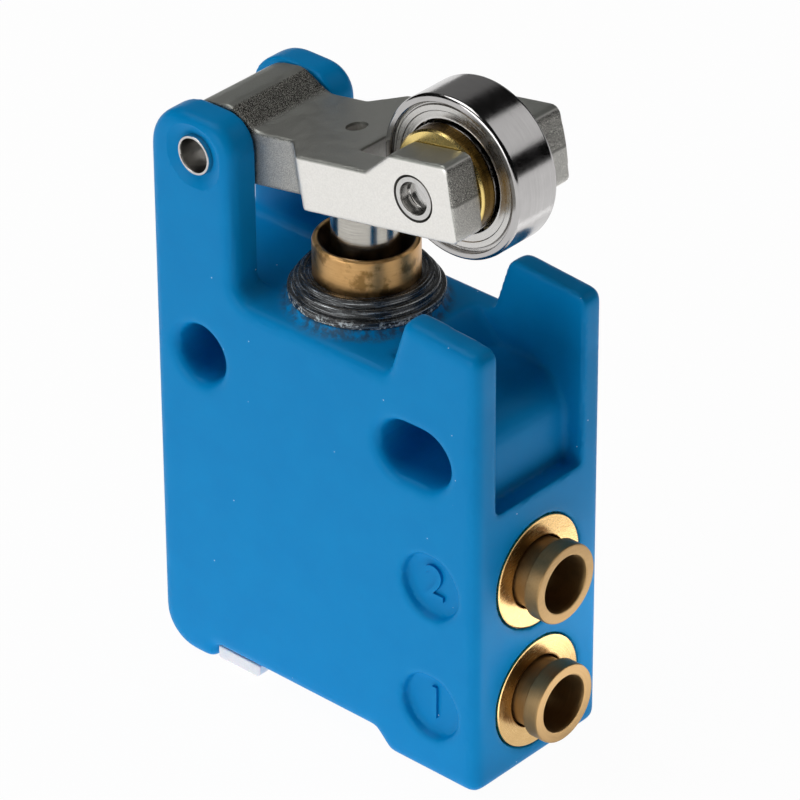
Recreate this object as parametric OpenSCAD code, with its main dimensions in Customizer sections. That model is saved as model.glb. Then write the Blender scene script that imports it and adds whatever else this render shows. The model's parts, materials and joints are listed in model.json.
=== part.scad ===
// Roller lever air valve: a three way poppet valve, worked by a roller on a lever,
// with two push-in tube ports on its end face.
// X runs from the pivot end to the port end, Y runs through the thickness and Z is up.
// The origin is the middle of the round fixing hole. All sizes are in millimetres.

/* [Body] */
// From the round fixing hole to the pivot end
body_left = 4.4; // [4.2:0.1:5.5]
// From the round fixing hole to the port face
body_right = 25.9; // [25.6:0.1:28]
// Thickness of the body
body_t = 13.2; // [12.8:0.1:15]
// From the round fixing hole down to the feet
body_down = 25.8; // [25.4:0.1:29]
// Height of the ledge above the round fixing hole
ledge_z = 5.7; // [5.2:0.1:6.5]
// Rounding of the upright edges
edge_r = 1.1; // [0.5:0.1:1.3]
// Rounding of the lower corner at the pivot end
heel_r = 3; // [1:0.1:3.4]

/* [Feet] */
// Height of the recess between the feet
foot_h = 1.4; // [1.2:0.1:1.8]
// Length of the foot at the pivot end
heel_foot = 5.1; // [4.6:0.1:5.6]
// Length of the foot at the port end
port_foot = 8.3; // [7.6:0.1:9]
// Run of the sloped side of the recess
foot_slope = 1.4; // [0.8:0.1:1.8]

/* [Fixing holes] */
// Distance between the round hole and the slotted hole
fix_pitch = 20; // [19.6:0.1:20.4]
// Diameter of the round hole and width of the slotted hole
fix_d = 4.4; // [4.2:0.1:4.6]
// Overall length of the slotted hole
slot_len = 6.4; // [5.6:0.1:7]
// Softening of the hole rims
rim = 0.5; // [0.2:0.1:0.7]

/* [Ears and posts] */
// Thickness of each ear
ear_t = 2.7; // [2.2:0.1:3]
// Length of an ear along the body
ear_len = 7.8; // [7.2:0.1:8.4]
// Height of an ear above the pivot
ear_rise = 2.9; // [2.7:0.1:3.4]
// Rounding of an ear's outer top corner
ear_outer_r = 3.4; // [2:0.1:3.8]
// Rounding of an ear's inner top corner
ear_inner_r = 2.3; // [1:0.1:2.6]
// Hollow fillet where an ear meets the ledge
ear_fillet = 1.5; // [0.8:0.1:1.8]
// Dish around each end of the pivot pin
pivot_dish_d = 5; // [4.4:0.1:5.4]
// Depth of that dish
pivot_dish = 0.25; // [0.1:0.05:0.4]
// Width of the channel between the posts
channel_w = 8.9; // [8:0.1:9.4]
// Height of the posts above the ledge
post_h = 4.7; // [4:0.1:5]
// Length of a post's top along the body
post_len = 6.8; // [6:0.1:7]
// Lean of a post's inner edge
post_lean = 1.5; // [0.5:0.1:2]
// Fall of a post's top towards the port face
post_fall = 0.5; // [0.2:0.1:0.8]
// Wall around the slotted hole inside the channel
slot_wall = 1.1; // [0.9:0.05:1.2]
// Depth of the channel's notch below the fixing holes
notch_down = 3.4; // [2.6:0.1:3.8]

/* [Lever] */
// Height of the pivot above the round fixing hole
pivot_z = 16; // [15.5:0.1:17]
// Diameter of the pivot pin
pivot_d = 3; // [2.6:0.1:3.2]
// Diameter of the cup in each end of the pins
pin_cup_d = 2.1; // [1.6:0.1:2.2]
// Depth of that cup
pin_cup = 1; // [0.4:0.1:1.4]
// From the pivot to the roller pin
lever_reach = 19.8; // [19:0.1:21]
// Rise of the lever at rest in degrees
lever_tilt = 10.45; // [9.5:0.05:11]
// Depth of the flat underside below the pivot line
lever_under = 2.85; // [2.6:0.05:2.9]
// Height of the barrel's flat above the pivot line
barrel_top = 2.9; // [2.6:0.05:3]
// Length of the barrel's flat
barrel_flat = 2.8; // [2:0.1:3.4]
// Run of the slope from the barrel down to the plate
barrel_slope = 2.2; // [1.6:0.1:2.6]
// Height of the plate above the pivot line
plate_top = 1.25; // [1:0.05:1.5]
// Length of the neck that goes between the ears
neck_len = 7.1; // [6.4:0.1:7.8]
// Run of the slanted shoulders beside the neck
shoulder_run = 2.1; // [1.4:0.1:2.6]
// Overall width of the fork
fork_w = 11.5; // [11:0.1:12.4]
// Thickness of a fork arm
arm_t = 2.6; // [2.2:0.1:2.7]
// Height of an arm's top above the pivot line
arm_top = 2.9; // [2.5:0.05:3.2]
// Flat on an arm before the roller pin
arm_pad = 1.6; // [1:0.1:2]
// Run of the slope up to that flat
arm_ramp = 2.5; // [2:0.1:3]
// From the roller pin to the arm's end
arm_nose = 3.7; // [3.2:0.1:4.2]
// Rounding of an arm's end corners
arm_nose_r = 0.7; // [0.3:0.1:1]
// Draft of an arm's end on each side of its parting line
nose_draft = 0.3; // [0.1:0.05:0.5]
// Diameter of the small hole in the plate
plate_hole_d = 1.6; // [1:0.1:2]
// From the pivot to that hole
plate_hole_x = 9.6; // [9:0.1:10.4]
// Free gap between the roller and the root of the fork
fork_root_gap = 1.2; // [0.8:0.1:1.6]

/* [Roller] */
// Outside diameter of the ball bearing
bearing_d = 12; // [11.6:0.1:12.6]
// Bore of the ball bearing
bearing_bore = 6; // [5.6:0.1:6.2]
// Width of the ball bearing
bearing_w = 4; // [3.8:0.1:4.6]
// Diameter of one ball
ball_d = 1.588; // [1.4:0.002:1.6]
// Number of balls
ball_count = 8; // [6:1:8]
// Thickness of a shield
shield_t = 0.25; // [0.2:0.05:0.35]
// Diameter of the roller pin
roller_pin_d = 3.2; // [2.8:0.1:3.4]
// Diameter of the spacer flanges
spacer_d = 7.8; // [7.2:0.1:8]

/* [Plunger and gland] */
// Diameter of the plunger
plunger_d = 5; // [4.8:0.05:5.2]
// Radius of the plunger's domed top
dome_r = 5; // [4:0.1:7]
// Outside diameter of the guide bush
bush_d = 7.6; // [7.4:0.1:8]
// Height of the guide bush above the ledge
bush_rise = 5; // [4.4:0.1:5.4]
// Length of the guide bush below the ledge
bush_depth = 9.1; // [8.8:0.1:9.6]
// Diameter of the countersink in the bush's mouth
relief_d = 6.6; // [5.8:0.1:6.8]
// Depth of that countersink
relief_depth = 1; // [0.4:0.1:1.4]
// Diameter of the gland ring
gland_d = 10.8; // [10.2:0.1:11.2]
// Height of the gland ring
gland_h = 1.8; // [1.4:0.1:2.2]
// Diameter of the boss under the gland ring
gland_boss_d = 11.5; // [11.3:0.1:12]
// Height of that boss
gland_boss_h = 0.7; // [0.4:0.1:1]

/* [Valve] */
// Diameter of the outlet chamber
chamber_d = 6.6; // [6.4:0.1:7]
// Diameter of the seat, the supply chamber and the plug
seat_d = 8; // [7.6:0.1:8.2]
// Height of the seat
seat_h = 2.5; // [2:0.1:2.8]
// Bore of the seat
seat_bore = 3.2; // [2.8:0.1:3.6]
// Diameter of the poppet's head
poppet_d = 5.6; // [5.2:0.1:6]
// Diameter of the poppet's stem
stem_d = 1.8; // [1.6:0.1:2]
// Travel of the poppet at full press
poppet_stroke = 1.45; // [1.2:0.05:1.5]
// Height of the bottom plug
plug_h = 2.8; // [2.6:0.1:3]
// Wire diameter of the springs
wire_d = 0.6; // [0.5:0.05:0.65]

/* [Ports] */
// From the fixing holes down to the outlet port
outlet_down = 10; // [9.6:0.1:10.4]
// From the fixing holes down to the supply port
supply_down = 20; // [19.6:0.1:20.4]
// Outside diameter of the tube that fits
tube_d = 4; // [3.8:0.05:4.05]
// Diameter of a sleeve's flange
sleeve_flange_d = 8.6; // [8.4:0.1:9]
// Thickness of that flange
sleeve_flange_t = 0.8; // [0.6:0.1:1]
// Outside diameter of a sleeve
sleeve_d = 7.8; // [7.6:0.1:8]
// Depth of a sleeve in the body
sleeve_depth = 6.2; // [6:0.1:6.6]
// Outside diameter of a release collar's head
collar_d = 6; // [5.8:0.1:6.4]
// Outside diameter of a release collar's neck
collar_neck_d = 5.2; // [5.1:0.05:5.4]
// How far a release collar stands out
collar_out = 2.45; // [2.2:0.05:2.8]
// Travel of a release collar
collar_stroke = 0.8; // [0.6:0.05:0.9]
// Diameter of the number discs on the front
disc_d = 5.1; // [4.6:0.1:5.6]
// Depth of the number discs
disc_depth = 0.45; // [0.2:0.05:0.6]
// From the port face to the middle of the number discs
disc_in = 4.35; // [4:0.05:5]

/* [Exhaust] */
// Length of the filter pad
pad_len = 4.1; // [3.6:0.1:4.6]
// Thickness of the filter pad
pad_t = 1; // [0.8:0.05:1.1]
// Diameter of the exhaust duct
duct_d = 1.6; // [1.2:0.1:1.8]

/* [Hidden] */
$fn = 48;

// Clearances: a seated piece, a running fit, a free side, and two faces that meet when moved
seat_gap = 0.01;
run_gap = 0.04;
side_gap = 0.1;
touch_gap = 0.05;
// How far a cut runs past the face that it opens
past = 1;

// Places along the body
port_x = body_right;
valve_x = fix_pitch / 2;
ear_x = ear_len - body_left;
ear_top = pivot_z + ear_rise;
ear_base = ledge_z - past;
recess_z = foot_h - body_down;
recess_x0 = heel_foot - body_left;
recess_x1 = body_right - port_foot;
slot_end = fix_pitch + (slot_len - fix_d) / 2;
boss_r = fix_d / 2 + slot_wall;
ramp_x1 = fix_pitch - boss_r / 2;
ramp_x0 = ramp_x1 - (ledge_z - boss_r);
post_x = body_right - post_len;

// The lever and its roller
fork_gap = fork_w - 2 * arm_t;
neck_w = body_t - 2 * ear_t - 2 * side_gap;
lever_end = lever_reach + arm_nose;
fork_root = lever_reach - bearing_d / 2 - fork_root_gap;
pitch_r = (bearing_d + bearing_bore) / 4;
race_gap = ball_d * 0.35;
groove_r = ball_d / 2 + run_gap;
shield_in = 0.15;
shield_seat = 0.35;
shield_step = 0.1;
shield_lip = 0.45;
shield_crimp = 0.25;
spacer_edge = 0.15;
pin_edge = 0.18;
pin_taper = 0.25;
spacer_flange = (fork_gap - bearing_w) / 2 - seat_gap;

// The plunger's dome touches the lever's flat underside
dome_z = pivot_z + valve_x * tan(lever_tilt) - (lever_under + dome_r) / cos(lever_tilt) - touch_gap;
press_angle = 13;
press_tilt = lever_tilt - press_angle;
stroke = valve_x * (tan(lever_tilt) - tan(press_tilt))
    - (lever_under + dome_r) * (1 / cos(lever_tilt) - 1 / cos(press_tilt));
bush_top = ledge_z + bush_rise;
bush_low = ledge_z - bush_depth;
bush_bore = plunger_d + 2 * run_gap;
boss_top = ledge_z + gland_boss_h;
vent_down = 2.7;
vent_z = ledge_z - vent_down;
vent_groove = 0.35;
vent_groove_r = bush_bore / 2 + vent_groove;
oring_wire = 0.84;
oring_up = 1.2;
oring_z = bush_low + stroke + oring_up;
collar_top = bush_low - side_gap;
collar_h = 1.3;
spring_play = 0.15;
spring_room = 1.4;
guide_d = chamber_d - 2 * spring_room;

// The poppet and its seat
seat_top = seat_h / 2 - (outlet_down + supply_down) / 2;
seat_low = seat_top - seat_h;
seal_t = 0.9;
seal_top = seat_low - touch_gap;
head_h = 1.2;
head_low = seal_top - seal_t - head_h;
stem_rise = 5.6;
stem_top = seat_top + stem_rise;
spigot_h = 0.8;
spigot_step = 0.3;
nose_z = stem_top + stroke - poppet_stroke + touch_gap;
plug_top = recess_z + plug_h;

// The tube ports, measured as depths in from the port face
tube_play = 0.15;
tube_bore = tube_d + tube_play;
neck_bore = collar_neck_d + 2 * run_gap;
sleeve_front = 1.6;
sleeve_wall = 0.6;
sleeve_room = sleeve_d - 2 * sleeve_wall;
collar_lip = 0.4;
collar_inner = sleeve_front + side_gap + collar_lip;
gripper_at = collar_inner + collar_stroke + side_gap;
gripper_t = 1;
tooth_gap = 0.1;
tooth_t = 0.25;
tooth_slit = 0.4;
tooth_len = 0.8;
tube_rest = 2;
tube_stop = sleeve_depth + tube_rest;
duct_r = 1.3;
duct_in = 0.4;
duct_x = ear_x + duct_in;

// Profiles and shared shapes

// What is cut away outside the rounding of one corner
module corner_waste(corner, inward, r) {
    from = [for (way = inward) way > 0 ? -past : -r];
    translate(corner) difference() {
        translate(from) square(r + past);
        translate(inward * r) circle(r);
    }
}

// Rectangle with a rounding of its own at each corner, counted round from the lower left
module soft_rect(low, high, radii) {
    corners = [low, [high[0], low[1]], high, [low[0], high[1]]];
    inward = [[1, 1], [-1, 1], [-1, -1], [1, -1]];
    difference() {
        translate(low) square(high - low);
        for (i = [0:3]) if (radii[i] > 0) corner_waste(corners[i], inward[i], radii[i]);
    }
}

// A profile drawn in X and Z, pushed through the thickness
module through_y(width) rotate([90, 0, 0]) linear_extrude(height = width, center = true) children();

// A profile drawn in Y and Z, pushed along the body
module along_body(from, to) translate([from, 0, 0]) rotate([90, 0, 90])
    linear_extrude(height = to - from) children();

// A profile of radius and distance, turned about the X axis or the Y axis
module turned_x() rotate([0, 90, 0]) rotate_extrude() children();
module turned_y() rotate([-90, 0, 0]) rotate_extrude() children();

// A plain ring, drawn as a profile of radius and height
module ring_profile(inner, outer, low, high) translate([inner, low]) square([outer - inner, high - low]);

// An O-ring that lies flat, given by its inner and outer radius
module oring(inner, outer) rotate_extrude() translate([(inner + outer) / 2, 0]) circle((outer - inner) / 2);

// A hole through the thickness with softened rims
module fixing_bore() {
    through_y(body_t + 2 * past) circle(d = fix_d);
    for (turn = [0, 180]) rotate([0, 0, turn]) translate([0, -body_t / 2, 0]) turned_y()
        polygon([[0, -past], [fix_d / 2 + rim + past, -past], [fix_d / 2, rim], [0, rim]]);
}

// Moves a piece drawn along the lever, from the pivot, to where the lever rests
module at_lever() translate([0, 0, pivot_z]) rotate([0, -lever_tilt, 0]) children();
module at_roller() at_lever() translate([lever_reach, 0, 0]) children();

// Moves a piece turned about X, drawn by depth, to its port
module at_port(down) translate([port_x, 0, -down]) mirror([1, 0, 0]) turned_x() children();

// A coil spring that stands from one height to another
function coil_point(turn, side, mean_r, low, rise, sides) =
    let (a = 360 * turn, b = 360 * side / sides, r = mean_r + wire_d / 2 * cos(b))
    [r * cos(a), r * sin(a), low + rise * turn + wire_d / 2 * sin(b)];

module coil_spring(low, high, mean_r, turns) {
    sides = 8;
    steps = 18;
    rise = (high - low - wire_d) / turns;
    last = turns * steps;
    points = [for (i = [0:last], j = [0:sides - 1])
        coil_point(i / steps, j, mean_r, low + wire_d / 2, rise, sides)];
    walls = [for (i = [0:last - 1], j = [0:sides - 1])
        let (k = (j + 1) % sides)
        [i * sides + j, i * sides + k, (i + 1) * sides + k, (i + 1) * sides + j]];
    first_cap = [for (j = [sides - 1:-1:0]) j];
    last_cap = [for (j = [0:sides - 1]) last * sides + j];
    polyhedron(points = points, faces = concat(walls, [first_cap, last_cap]), convexity = 8);
}

// The moulded body

module body_side() {
    difference() {
        soft_rect([-body_left, -body_down], [body_right, ledge_z], [heel_r, 0, 0, 0]);
        polygon([[recess_x0, -body_down - past], [recess_x0, recess_z],
            [recess_x1 - foot_slope, recess_z], [recess_x1, -body_down],
            [recess_x1, -body_down - past]]);
    }
}

module body_block() intersection() {
    through_y(body_t) body_side();
    translate([0, 0, -body_down]) linear_extrude(height = body_down + ledge_z)
        soft_rect([-body_left, -body_t / 2], [body_right, body_t / 2], [edge_r, edge_r, edge_r, edge_r]);
}

// The ear on the front side
module ear() {
    front = -body_t / 2;
    back = front + ear_t;
    intersection() {
        translate([0, (front + back) / 2, 0]) through_y(ear_t) {
            soft_rect([-body_left, ear_base], [ear_x, ear_top], [0, 0, ear_inner_r, ear_outer_r]);
            translate([ear_x - past, ear_base]) difference() {
                square([ear_fillet + past, ear_fillet + past]);
                translate([ear_fillet + past, ear_fillet + past]) circle(ear_fillet);
            }
        }
        translate([0, 0, ear_base]) linear_extrude(height = ear_top - ear_base)
            soft_rect([-body_left, front], [ear_x + ear_fillet, back], [edge_r, 0, 0, 0]);
        along_body(-body_left - past, ear_x + ear_fillet + past)
            soft_rect([front, ear_base], [back, ear_top], [0, 0, 0, edge_r]);
    }
}

// The post on the front side
module post() {
    front = -body_t / 2;
    back = -channel_w / 2;
    top = ledge_z + post_h;
    intersection() {
        translate([0, (front + back) / 2, 0]) through_y(back - front)
            polygon([[post_x - post_lean, ear_base], [post_x - post_lean, ledge_z], [post_x, top],
                [body_right, top - post_fall], [body_right, ear_base]]);
        translate([0, 0, ear_base]) linear_extrude(height = top - ear_base)
            soft_rect([post_x - post_lean, front], [body_right, back], [0, edge_r, 0, 0]);
    }
}

// The channel between the posts, with the rounded wall of the slotted hole left standing in it
module channel() through_y(channel_w) {
    polygon([[ramp_x0 - past, ledge_z + past], [ramp_x1, boss_r], [slot_end, boss_r],
        [slot_end, ledge_z + past]]);
    difference() {
        translate([slot_end, -notch_down])
            square([body_right + past - slot_end, notch_down + ledge_z + post_h + past]);
        translate([slot_end, 0]) circle(boss_r);
        translate([slot_end - past, -notch_down - past]) square([boss_r + past, notch_down + past]);
    }
}

module slotted_hole() {
    half = (slot_len - fix_d) / 2;
    for (x = [-half, half]) translate([fix_pitch + x, 0, 0]) fixing_bore();
    translate([fix_pitch, 0, 0]) {
        cube([2 * half, body_t + 2 * past, fix_d], center = true);
        along_body(-half, half) for (side = [-1, 1])
            polygon([[side * (body_t / 2 + past), fix_d / 2 + rim + past],
                [side * (body_t / 2 - rim), fix_d / 2], [side * (body_t / 2 - rim), -fix_d / 2],
                [side * (body_t / 2 + past), -fix_d / 2 - rim - past]]);
    }
}

// The upright bore for the bush, the chambers, the seat and the plug
module valve_bore() translate([valve_x, 0, 0]) {
    translate([0, 0, bush_low]) cylinder(d = bush_d + 2 * seat_gap, h = boss_top - bush_low + past);
    translate([0, 0, seat_low]) cylinder(d = chamber_d, h = bush_low - seat_low + past);
    translate([0, 0, recess_z - past])
        cylinder(d = seat_d + 2 * seat_gap, h = seat_top - recess_z + past);
}

module exhaust_duct() {
    translate([duct_x, 0, recess_z - past]) cylinder(d = duct_d, h = vent_z - recess_z + past);
    translate([duct_x, 0, vent_z]) rotate([0, 90, 0]) cylinder(d = duct_d, h = valve_x - duct_x);
}

module port_pocket(down) {
    at_port(down) polygon([[0, -past], [sleeve_flange_d / 2 + touch_gap, -past],
        [sleeve_flange_d / 2 + touch_gap, sleeve_flange_t], [sleeve_d / 2 + seat_gap, sleeve_flange_t],
        [sleeve_d / 2 + seat_gap, sleeve_depth], [tube_bore / 2, sleeve_depth],
        [tube_bore / 2, tube_stop], [duct_r, tube_stop], [duct_r, port_x - valve_x], [0, port_x - valve_x]]);
}

module body() color("dodgerblue") difference() {
    union() {
        body_block();
        ear();
        mirror([0, 1, 0]) ear();
        post();
        mirror([0, 1, 0]) post();
        translate([valve_x, 0, ledge_z - past]) cylinder(d = gland_boss_d, h = gland_boss_h + past);
    }
    channel();
    fixing_bore();
    slotted_hole();
    valve_bore();
    exhaust_duct();
    for (down = [outlet_down, supply_down]) {
        port_pocket(down);
        translate([port_x - disc_in, -body_t / 2, -down]) rotate([90, 0, 0])
            translate([0, 0, -disc_depth]) cylinder(d = disc_d, h = disc_depth + past);
    }
    translate([0, 0, pivot_z]) {
        through_y(body_t + 2 * past) circle(d = pivot_d + 2 * seat_gap);
        for (turn = [0, 180]) rotate([0, 0, turn]) translate([0, pivot_dish - body_t / 2, 0])
            rotate([90, 0, 0]) cylinder(d = pivot_dish_d, h = past);
    }
}

// The lever, its pins and its roller

// A pin along Y with a tapered cup in each end
module cupped_pin(d, length) {
    half = length / 2;
    turned_y() difference() {
        polygon([[0, -half], [d / 2 - pin_edge, -half], [d / 2, pin_edge - half],
            [d / 2, half - pin_edge], [d / 2 - pin_edge, half], [0, half]]);
        for (side = [-1, 1]) polygon([[0, side * (half + past)], [pin_cup_d / 2, side * (half + past)],
            [pin_cup_d / 2, side * half], [pin_cup_d / 2 - pin_taper, side * (half - pin_cup)],
            [0, side * (half - pin_cup - pin_taper)]]);
    }
}

module pivot_pin() color("silver") translate([0, 0, pivot_z]) cupped_pin(pivot_d, body_t);

// The barrel, the sloped neck and the arms as seen from the side
module lever_blank() {
    width = fork_w + past;
    through_y(width) circle(barrel_top);
    through_y(width) polygon([[-barrel_flat / 2, barrel_top], [barrel_flat / 2, barrel_top],
        [barrel_flat / 2 + barrel_slope, plate_top], [neck_len, plate_top], [neck_len, -lever_under],
        [0, -lever_under], [-barrel_flat / 2, 0]]);
    through_y(width) difference() {
        soft_rect([barrel_flat, -lever_under], [lever_end, arm_top], [0, arm_nose_r, arm_nose_r, 0]);
        polygon([[0, plate_top], [lever_reach - arm_pad - arm_ramp, plate_top],
            [lever_reach - arm_pad, arm_top], [lever_reach - arm_pad, arm_top + past], [0, arm_top + past]]);
        for (side = [-1, 1]) polygon([[lever_end, 0], [lever_end + past, 0],
            [lever_end + past, side * (arm_top + past)], [lever_end - nose_draft, side * (arm_top + past)]]);
    }
}

module lever_plan() difference() {
    polygon([[-barrel_top - past, -neck_w / 2], [neck_len, -neck_w / 2],
        [neck_len + shoulder_run, -fork_w / 2], [lever_end + past, -fork_w / 2],
        [lever_end + past, fork_w / 2], [neck_len + shoulder_run, fork_w / 2],
        [neck_len, neck_w / 2], [-barrel_top - past, neck_w / 2]]);
    translate([fork_root, -fork_gap / 2]) square([lever_end + 2 * past - fork_root, fork_gap]);
}

module lever() color("gainsboro") at_lever() difference() {
    intersection() {
        union() lever_blank();
        linear_extrude(height = 2 * (arm_top + lever_under), center = true) lever_plan();
    }
    through_y(body_t) circle(d = pivot_d + 2 * run_gap);
    translate([lever_reach, 0, 0]) through_y(fork_w + past) circle(d = roller_pin_d + 2 * seat_gap);
    translate([plate_hole_x, 0, 0]) cylinder(d = plate_hole_d, h = arm_top + past);
}

module roller_pin() color("silver") at_roller() cupped_pin(roller_pin_d, fork_w);

// Flanged spacer on the front side, which carries half of the bearing's bore
module spacer() turned_y() {
    outside = seat_gap - fork_gap / 2;
    inside = -bearing_w / 2;
    difference() {
        union() {
            polygon([[0, outside], [spacer_d / 2 - spacer_edge, outside], [spacer_d / 2, outside + spacer_edge],
                [spacer_d / 2, inside - spacer_edge], [spacer_d / 2 - spacer_edge, inside], [0, inside]]);
            ring_profile(0, bearing_bore / 2 - seat_gap, outside, -seat_gap);
        }
        ring_profile(0, roller_pin_d / 2 + seat_gap, -fork_gap, fork_gap);
    }
}

module spacer_front() color("goldenrod") at_roller() spacer();
module spacer_rear() color("goldenrod") at_roller() mirror([0, 1, 0]) spacer();

module bearing_inner_ring() color("lightgray") at_roller() turned_y() difference() {
    ring_profile(bearing_bore / 2, pitch_r - race_gap, -bearing_w / 2, bearing_w / 2);
    translate([pitch_r, 0]) circle(groove_r);
}

module bearing_outer_ring() color("lightgray") at_roller() turned_y() {
    bevel = 0.3;
    inner = pitch_r + race_gap;
    outer = bearing_d / 2;
    half = bearing_w / 2;
    difference() {
        polygon([[inner, -half], [outer - bevel, -half], [outer, bevel - half], [outer, half - bevel],
            [outer - bevel, half], [inner, half]]);
        translate([pitch_r, 0]) circle(groove_r);
        for (side = [-1, 1]) translate([0, side * half])
            ring_profile(0, inner + shield_seat, -shield_in - shield_t, shield_in + shield_t);
    }
}

module bearing_balls() color("silver") at_roller()
    for (i = [0:ball_count - 1]) rotate([0, 360 * i / ball_count, 0]) translate([pitch_r, 0, 0])
        sphere(d = ball_d);

// Crown cage, open on the front side
module ball_cage() color("khaki") at_roller() {
    half = race_gap * 0.6;
    difference() {
        turned_y() ring_profile(pitch_r - half, pitch_r + half, -ball_d * 0.2, ball_d * 0.75);
        for (i = [0:ball_count - 1]) rotate([0, 360 * i / ball_count, 0]) translate([pitch_r, 0, 0])
            sphere(groove_r);
    }
}

// Pressed shield on the front side: a raised band between a set-back inner lip and the crimped rim
module shield() turned_y() {
    inner = pitch_r - race_gap + 2 * side_gap;
    outer = pitch_r + race_gap + shield_seat - seat_gap;
    face = shield_in - bearing_w / 2;
    back = face + shield_t - seat_gap;
    polygon([[inner, face + shield_step], [inner + shield_lip, face + shield_step], [inner + shield_lip, face],
        [outer - shield_crimp, face], [outer - shield_crimp, face + shield_step], [outer, face + shield_step],
        [outer, back], [inner, back]]);
}

module bearing_shield_front() color("whitesmoke") at_roller() shield();
module bearing_shield_rear() color("whitesmoke") at_roller() mirror([0, 1, 0]) shield();

// The plunger, its guide and the gland

module plunger() color("silver") translate([valve_x, 0, 0]) {
    r = plunger_d / 2;
    dome_top = dome_z + dome_r;
    dome_edge = dome_z + sqrt(dome_r * dome_r - r * r);
    vent_r = 0.7;
    difference() {
        union() {
            intersection() {
                translate([0, 0, collar_top - collar_h]) cylinder(r = r, h = dome_top - collar_top + collar_h);
                translate([0, 0, dome_z]) union() {
                    sphere(dome_r);
                    translate([0, 0, collar_top - collar_h - dome_z - past])
                        cylinder(r = r + past, h = dome_edge - collar_top + collar_h + past);
                }
            }
            translate([0, 0, collar_top - collar_h]) cylinder(d = chamber_d - 4 * side_gap, h = collar_h);
            translate([0, 0, nose_z]) cylinder(d = guide_d, h = collar_top - nose_z);
        }
        translate([0, 0, nose_z - past]) cylinder(r = vent_r, h = vent_z - nose_z + past);
        translate([0, 0, vent_z]) rotate([90, 0, 90]) cylinder(r = vent_r, h = plunger_d + past, center = true);
        translate([0, 0, oring_z]) rotate_extrude()
            ring_profile(r + run_gap / 2 - oring_wire, r + past, -oring_wire * 0.6, oring_wire * 0.6);
    }
}

module plunger_oring() color("black") translate([valve_x, 0, oring_z])
    oring(plunger_d / 2 + run_gap / 2 - oring_wire + seat_gap, plunger_d / 2 + run_gap / 2);

module plunger_spring() color("lightsteelblue") translate([valve_x, 0, 0])
    coil_spring(seat_top + touch_gap, collar_top - collar_h - touch_gap, guide_d / 2 + wire_d / 2 + spring_play, 6);

module guide_bush() color("peru") translate([valve_x, 0, 0]) {
    lip = 0.25;
    difference() {
        rotate_extrude() difference() {
            polygon([[bush_bore / 2, bush_low], [bush_d / 2, bush_low], [bush_d / 2, bush_top - lip],
                [bush_d / 2 - lip, bush_top], [bush_bore / 2, bush_top]]);
            polygon([[0, bush_top + past], [relief_d / 2, bush_top + past], [relief_d / 2, bush_top],
                [bush_bore / 2, bush_top - relief_depth], [0, bush_top - relief_depth]]);
            ring_profile(0, vent_groove_r, vent_z - stroke - duct_d / 2, vent_z + duct_d / 2);
        }
        translate([0, 0, vent_z]) rotate([0, -90, 0]) cylinder(d = duct_d, h = bush_d);
    }
}

// Turned ring with stepped rims, pressed round the bush on its boss
module gland_ring() color("dimgray") translate([valve_x, 0, boss_top]) rotate_extrude() {
    inner = bush_d / 2 + seat_gap;
    outer = gland_d / 2;
    step = (outer - inner) / 4;
    polygon([[inner, seat_gap], [outer + step / 3, seat_gap], [outer + step / 3, gland_h * 0.35],
        [outer, gland_h * 0.4], [outer, gland_h * 0.7], [outer - step, gland_h * 0.75],
        [outer - step, gland_h], [inner + step / 2, gland_h], [inner, gland_h * 0.8]]);
}

// The valve inside

module valve_seat() color("goldenrod") translate([valve_x, 0, 0]) rotate_extrude() {
    lip_h = 0.5;
    lip_w = 0.45;
    ring_profile(seat_bore / 2, seat_d / 2, seat_low + lip_h, seat_top);
    ring_profile(seat_bore / 2, seat_bore / 2 + lip_w, seat_low, seat_low + lip_h);
}

module poppet() color("goldenrod") translate([valve_x, 0, 0]) {
    translate([0, 0, head_low]) cylinder(d = poppet_d, h = head_h);
    translate([0, 0, head_low]) cylinder(d = stem_d, h = stem_top - head_low);
    translate([0, 0, head_low - spigot_h]) cylinder(d = stem_d + 2 * spigot_step, h = spigot_h);
}

module poppet_seal() color("black") translate([valve_x, 0, 0]) rotate_extrude()
    ring_profile(stem_d / 2 + seat_gap, poppet_d / 2, seal_top - seal_t + seat_gap, seal_top);

module poppet_spring() color("lightsteelblue") translate([valve_x, 0, 0])
    coil_spring(plug_top + touch_gap, head_low - touch_gap, poppet_d / 2 - wire_d, 3);

module bottom_plug() color("goldenrod") translate([valve_x, 0, 0]) {
    key_d = 3;
    difference() {
        translate([0, 0, recess_z]) cylinder(d = seat_d, h = plug_h);
        translate([0, 0, recess_z + plug_h / 2]) rotate_extrude()
            ring_profile(seat_d / 2 - oring_wire, seat_d / 2 + past, -oring_wire * 0.6, oring_wire * 0.6);
        translate([0, 0, recess_z - past]) cylinder(d = key_d, h = plug_h / 2 + past, $fn = 6);
    }
}

module bottom_plug_oring() color("black") translate([valve_x, 0, recess_z + plug_h / 2])
    oring(seat_d / 2 - oring_wire + seat_gap, seat_d / 2);

// Porous pad over the mouth of the exhaust duct, in the recess between the feet
module exhaust_filter() color("white") translate([recess_x0 + side_gap, 0, recess_z - pad_t - seat_gap])
    linear_extrude(height = pad_t)
        soft_rect([0, side_gap * 4 - body_t / 2], [pad_len, body_t / 2 - side_gap * 4], [0.4, 0.4, 0.4, 0.4]);

// The push-in tube ports, drawn by depth in from the port face

module port_sleeve(down) color("goldenrod") at_port(down) polygon([[neck_bore / 2, 0],
    [sleeve_flange_d / 2, 0], [sleeve_flange_d / 2, sleeve_flange_t - seat_gap],
    [sleeve_d / 2, sleeve_flange_t - seat_gap], [sleeve_d / 2, sleeve_depth - seat_gap],
    [sleeve_room / 2, sleeve_depth - seat_gap], [sleeve_room / 2, sleeve_front], [neck_bore / 2, sleeve_front]]);

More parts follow.
